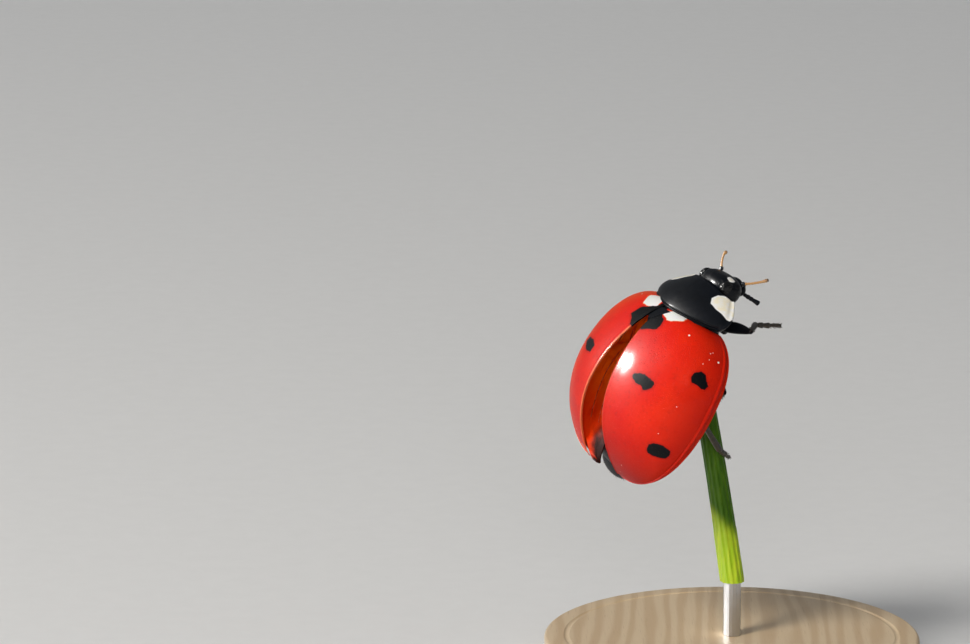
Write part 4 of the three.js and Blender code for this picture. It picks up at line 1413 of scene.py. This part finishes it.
class LADYBIRD_OT_stage(PieceOperator, bpy.types.Operator):
    """Lays the floor, hangs the soft lights and sets the camera"""
    bl_idname = "ladybird.stage"
    bl_label = "Stage"

    def make(self, context):
        bpy.ops.mesh.primitive_plane_add(size=4.0, location=(0, 0, 0))
        floor = context.object
        floor.name = "studio_floor"
        floor.data.materials.append(floor_finish())
        self.lights(context)
        self.camera(context)

    @staticmethod
    def lights(context):
        world = bpy.data.worlds.new("studio_air")
        world.use_nodes = True
        background = world.node_tree.nodes["Background"]
        background.inputs["Color"].default_value = (0.93, 0.95, 1.0, 1)
        background.inputs["Strength"].default_value = 0.14
        context.scene.world = world
        target = SCUTELLUM_PLACE * MM
        for name, towards, distance, size, watts, tone, use in (
            ("key_softbox", (-0.55, -0.5, 0.67), 0.3, 0.1, 0.66, (1.0, 0.97, 0.93), "fill"),
            ("gleam_softbox", (-0.91, -0.03, 0.41), 0.3, 0.08, 5.6, (1.0, 0.98, 0.95), "gloss"),
            ("front_softbox", (-0.03, -0.95, 0.3), 0.3, 0.14, 0.24, (1.0, 0.99, 0.97), "fill"),
            ("back_softbox", (-0.1, 0.8, 0.6), 0.3, 0.2, 0.12, (0.96, 0.98, 1.0), "fill"),
        ):
            place = target + Vector(towards).normalized() * distance
            nothing_selected()
            bpy.ops.object.light_add(type="AREA", location=place)
            lamp = context.object
            lamp.name = name
            lamp.data.shape = "DISK"
            lamp.data.size = size
            lamp.data.energy = watts
            lamp.data.color = tone
            lamp.visible_glossy = use == "gloss"
            lamp.visible_diffuse = use == "fill"
            lamp.rotation_euler = (target - lamp.location).to_track_quat("-Z", "Y").to_euler()

    @staticmethod
    def camera(context):
        tilt = math.radians(VIEW_ELEVATION)
        up = Vector((0, math.sin(tilt), math.cos(tilt)))
        towards = Vector((0, -math.cos(tilt), math.sin(tilt)))
        aim = SCUTELLUM_PLACE + Vector((AIM_RIGHT, 0, 0)) + up * AIM_UP
        bpy.ops.object.camera_add(location=(aim + towards * VIEW_DISTANCE) * MM,
                                  rotation=(math.radians(90 - VIEW_ELEVATION), 0, 0))
        camera = context.object
        camera.name = "museum_camera"
        camera.data.lens = LENS
        camera.data.sensor_width = SENSOR
        camera.data.clip_start = 0.001
        camera.data.clip_end = 10.0
        context.scene.camera = camera
        context.scene.view_settings.view_transform = "Standard"


# ---------------------------------------------------------------- the add-on

OPERATORS = (
    LADYBIRD_OT_stage, LADYBIRD_OT_stand, LADYBIRD_OT_stem, LADYBIRD_OT_trunk, LADYBIRD_OT_hind_wings,
    LADYBIRD_OT_wing_cases, LADYBIRD_OT_pronotum, LADYBIRD_OT_head, LADYBIRD_OT_feelers, LADYBIRD_OT_legs,
    LADYBIRD_OT_hairs,
)


class LADYBIRD_PT_panel(bpy.types.Panel):
    """Lists the sizes, colours and steps of the ladybird"""
    bl_idname = "LADYBIRD_PT_panel"
    bl_label = "Ladybird"
    bl_space_type = "VIEW_3D"
    bl_region_type = "UI"
    bl_category = "Ladybird"

    def draw(self, context):
        for settings in (context.scene.ladybird_sizes, context.scene.ladybird_colours):
            for name in settings.__annotations__:
                self.layout.prop(settings, name)
        for operator in OPERATORS:
            self.layout.operator(operator.bl_idname)


CLASSES = (LadybirdColours, LadybirdSizes) + OPERATORS + (LADYBIRD_PT_panel,)


def register():
    for cls in CLASSES:
        bpy.utils.register_class(cls)
    bpy.types.Scene.ladybird_colours = bpy.props.PointerProperty(type=LadybirdColours)
    bpy.types.Scene.ladybird_sizes = bpy.props.PointerProperty(type=LadybirdSizes)


def unregister():
    del bpy.types.Scene.ladybird_sizes
    del bpy.types.Scene.ladybird_colours
    for cls in reversed(CLASSES):
        bpy.utils.unregister_class(cls)


def main():
    register()
    for operator in OPERATORS:
        family, name = operator.bl_idname.split(".")
        getattr(getattr(bpy.ops, family), name)()


if __name__ == "__main__":
    main()
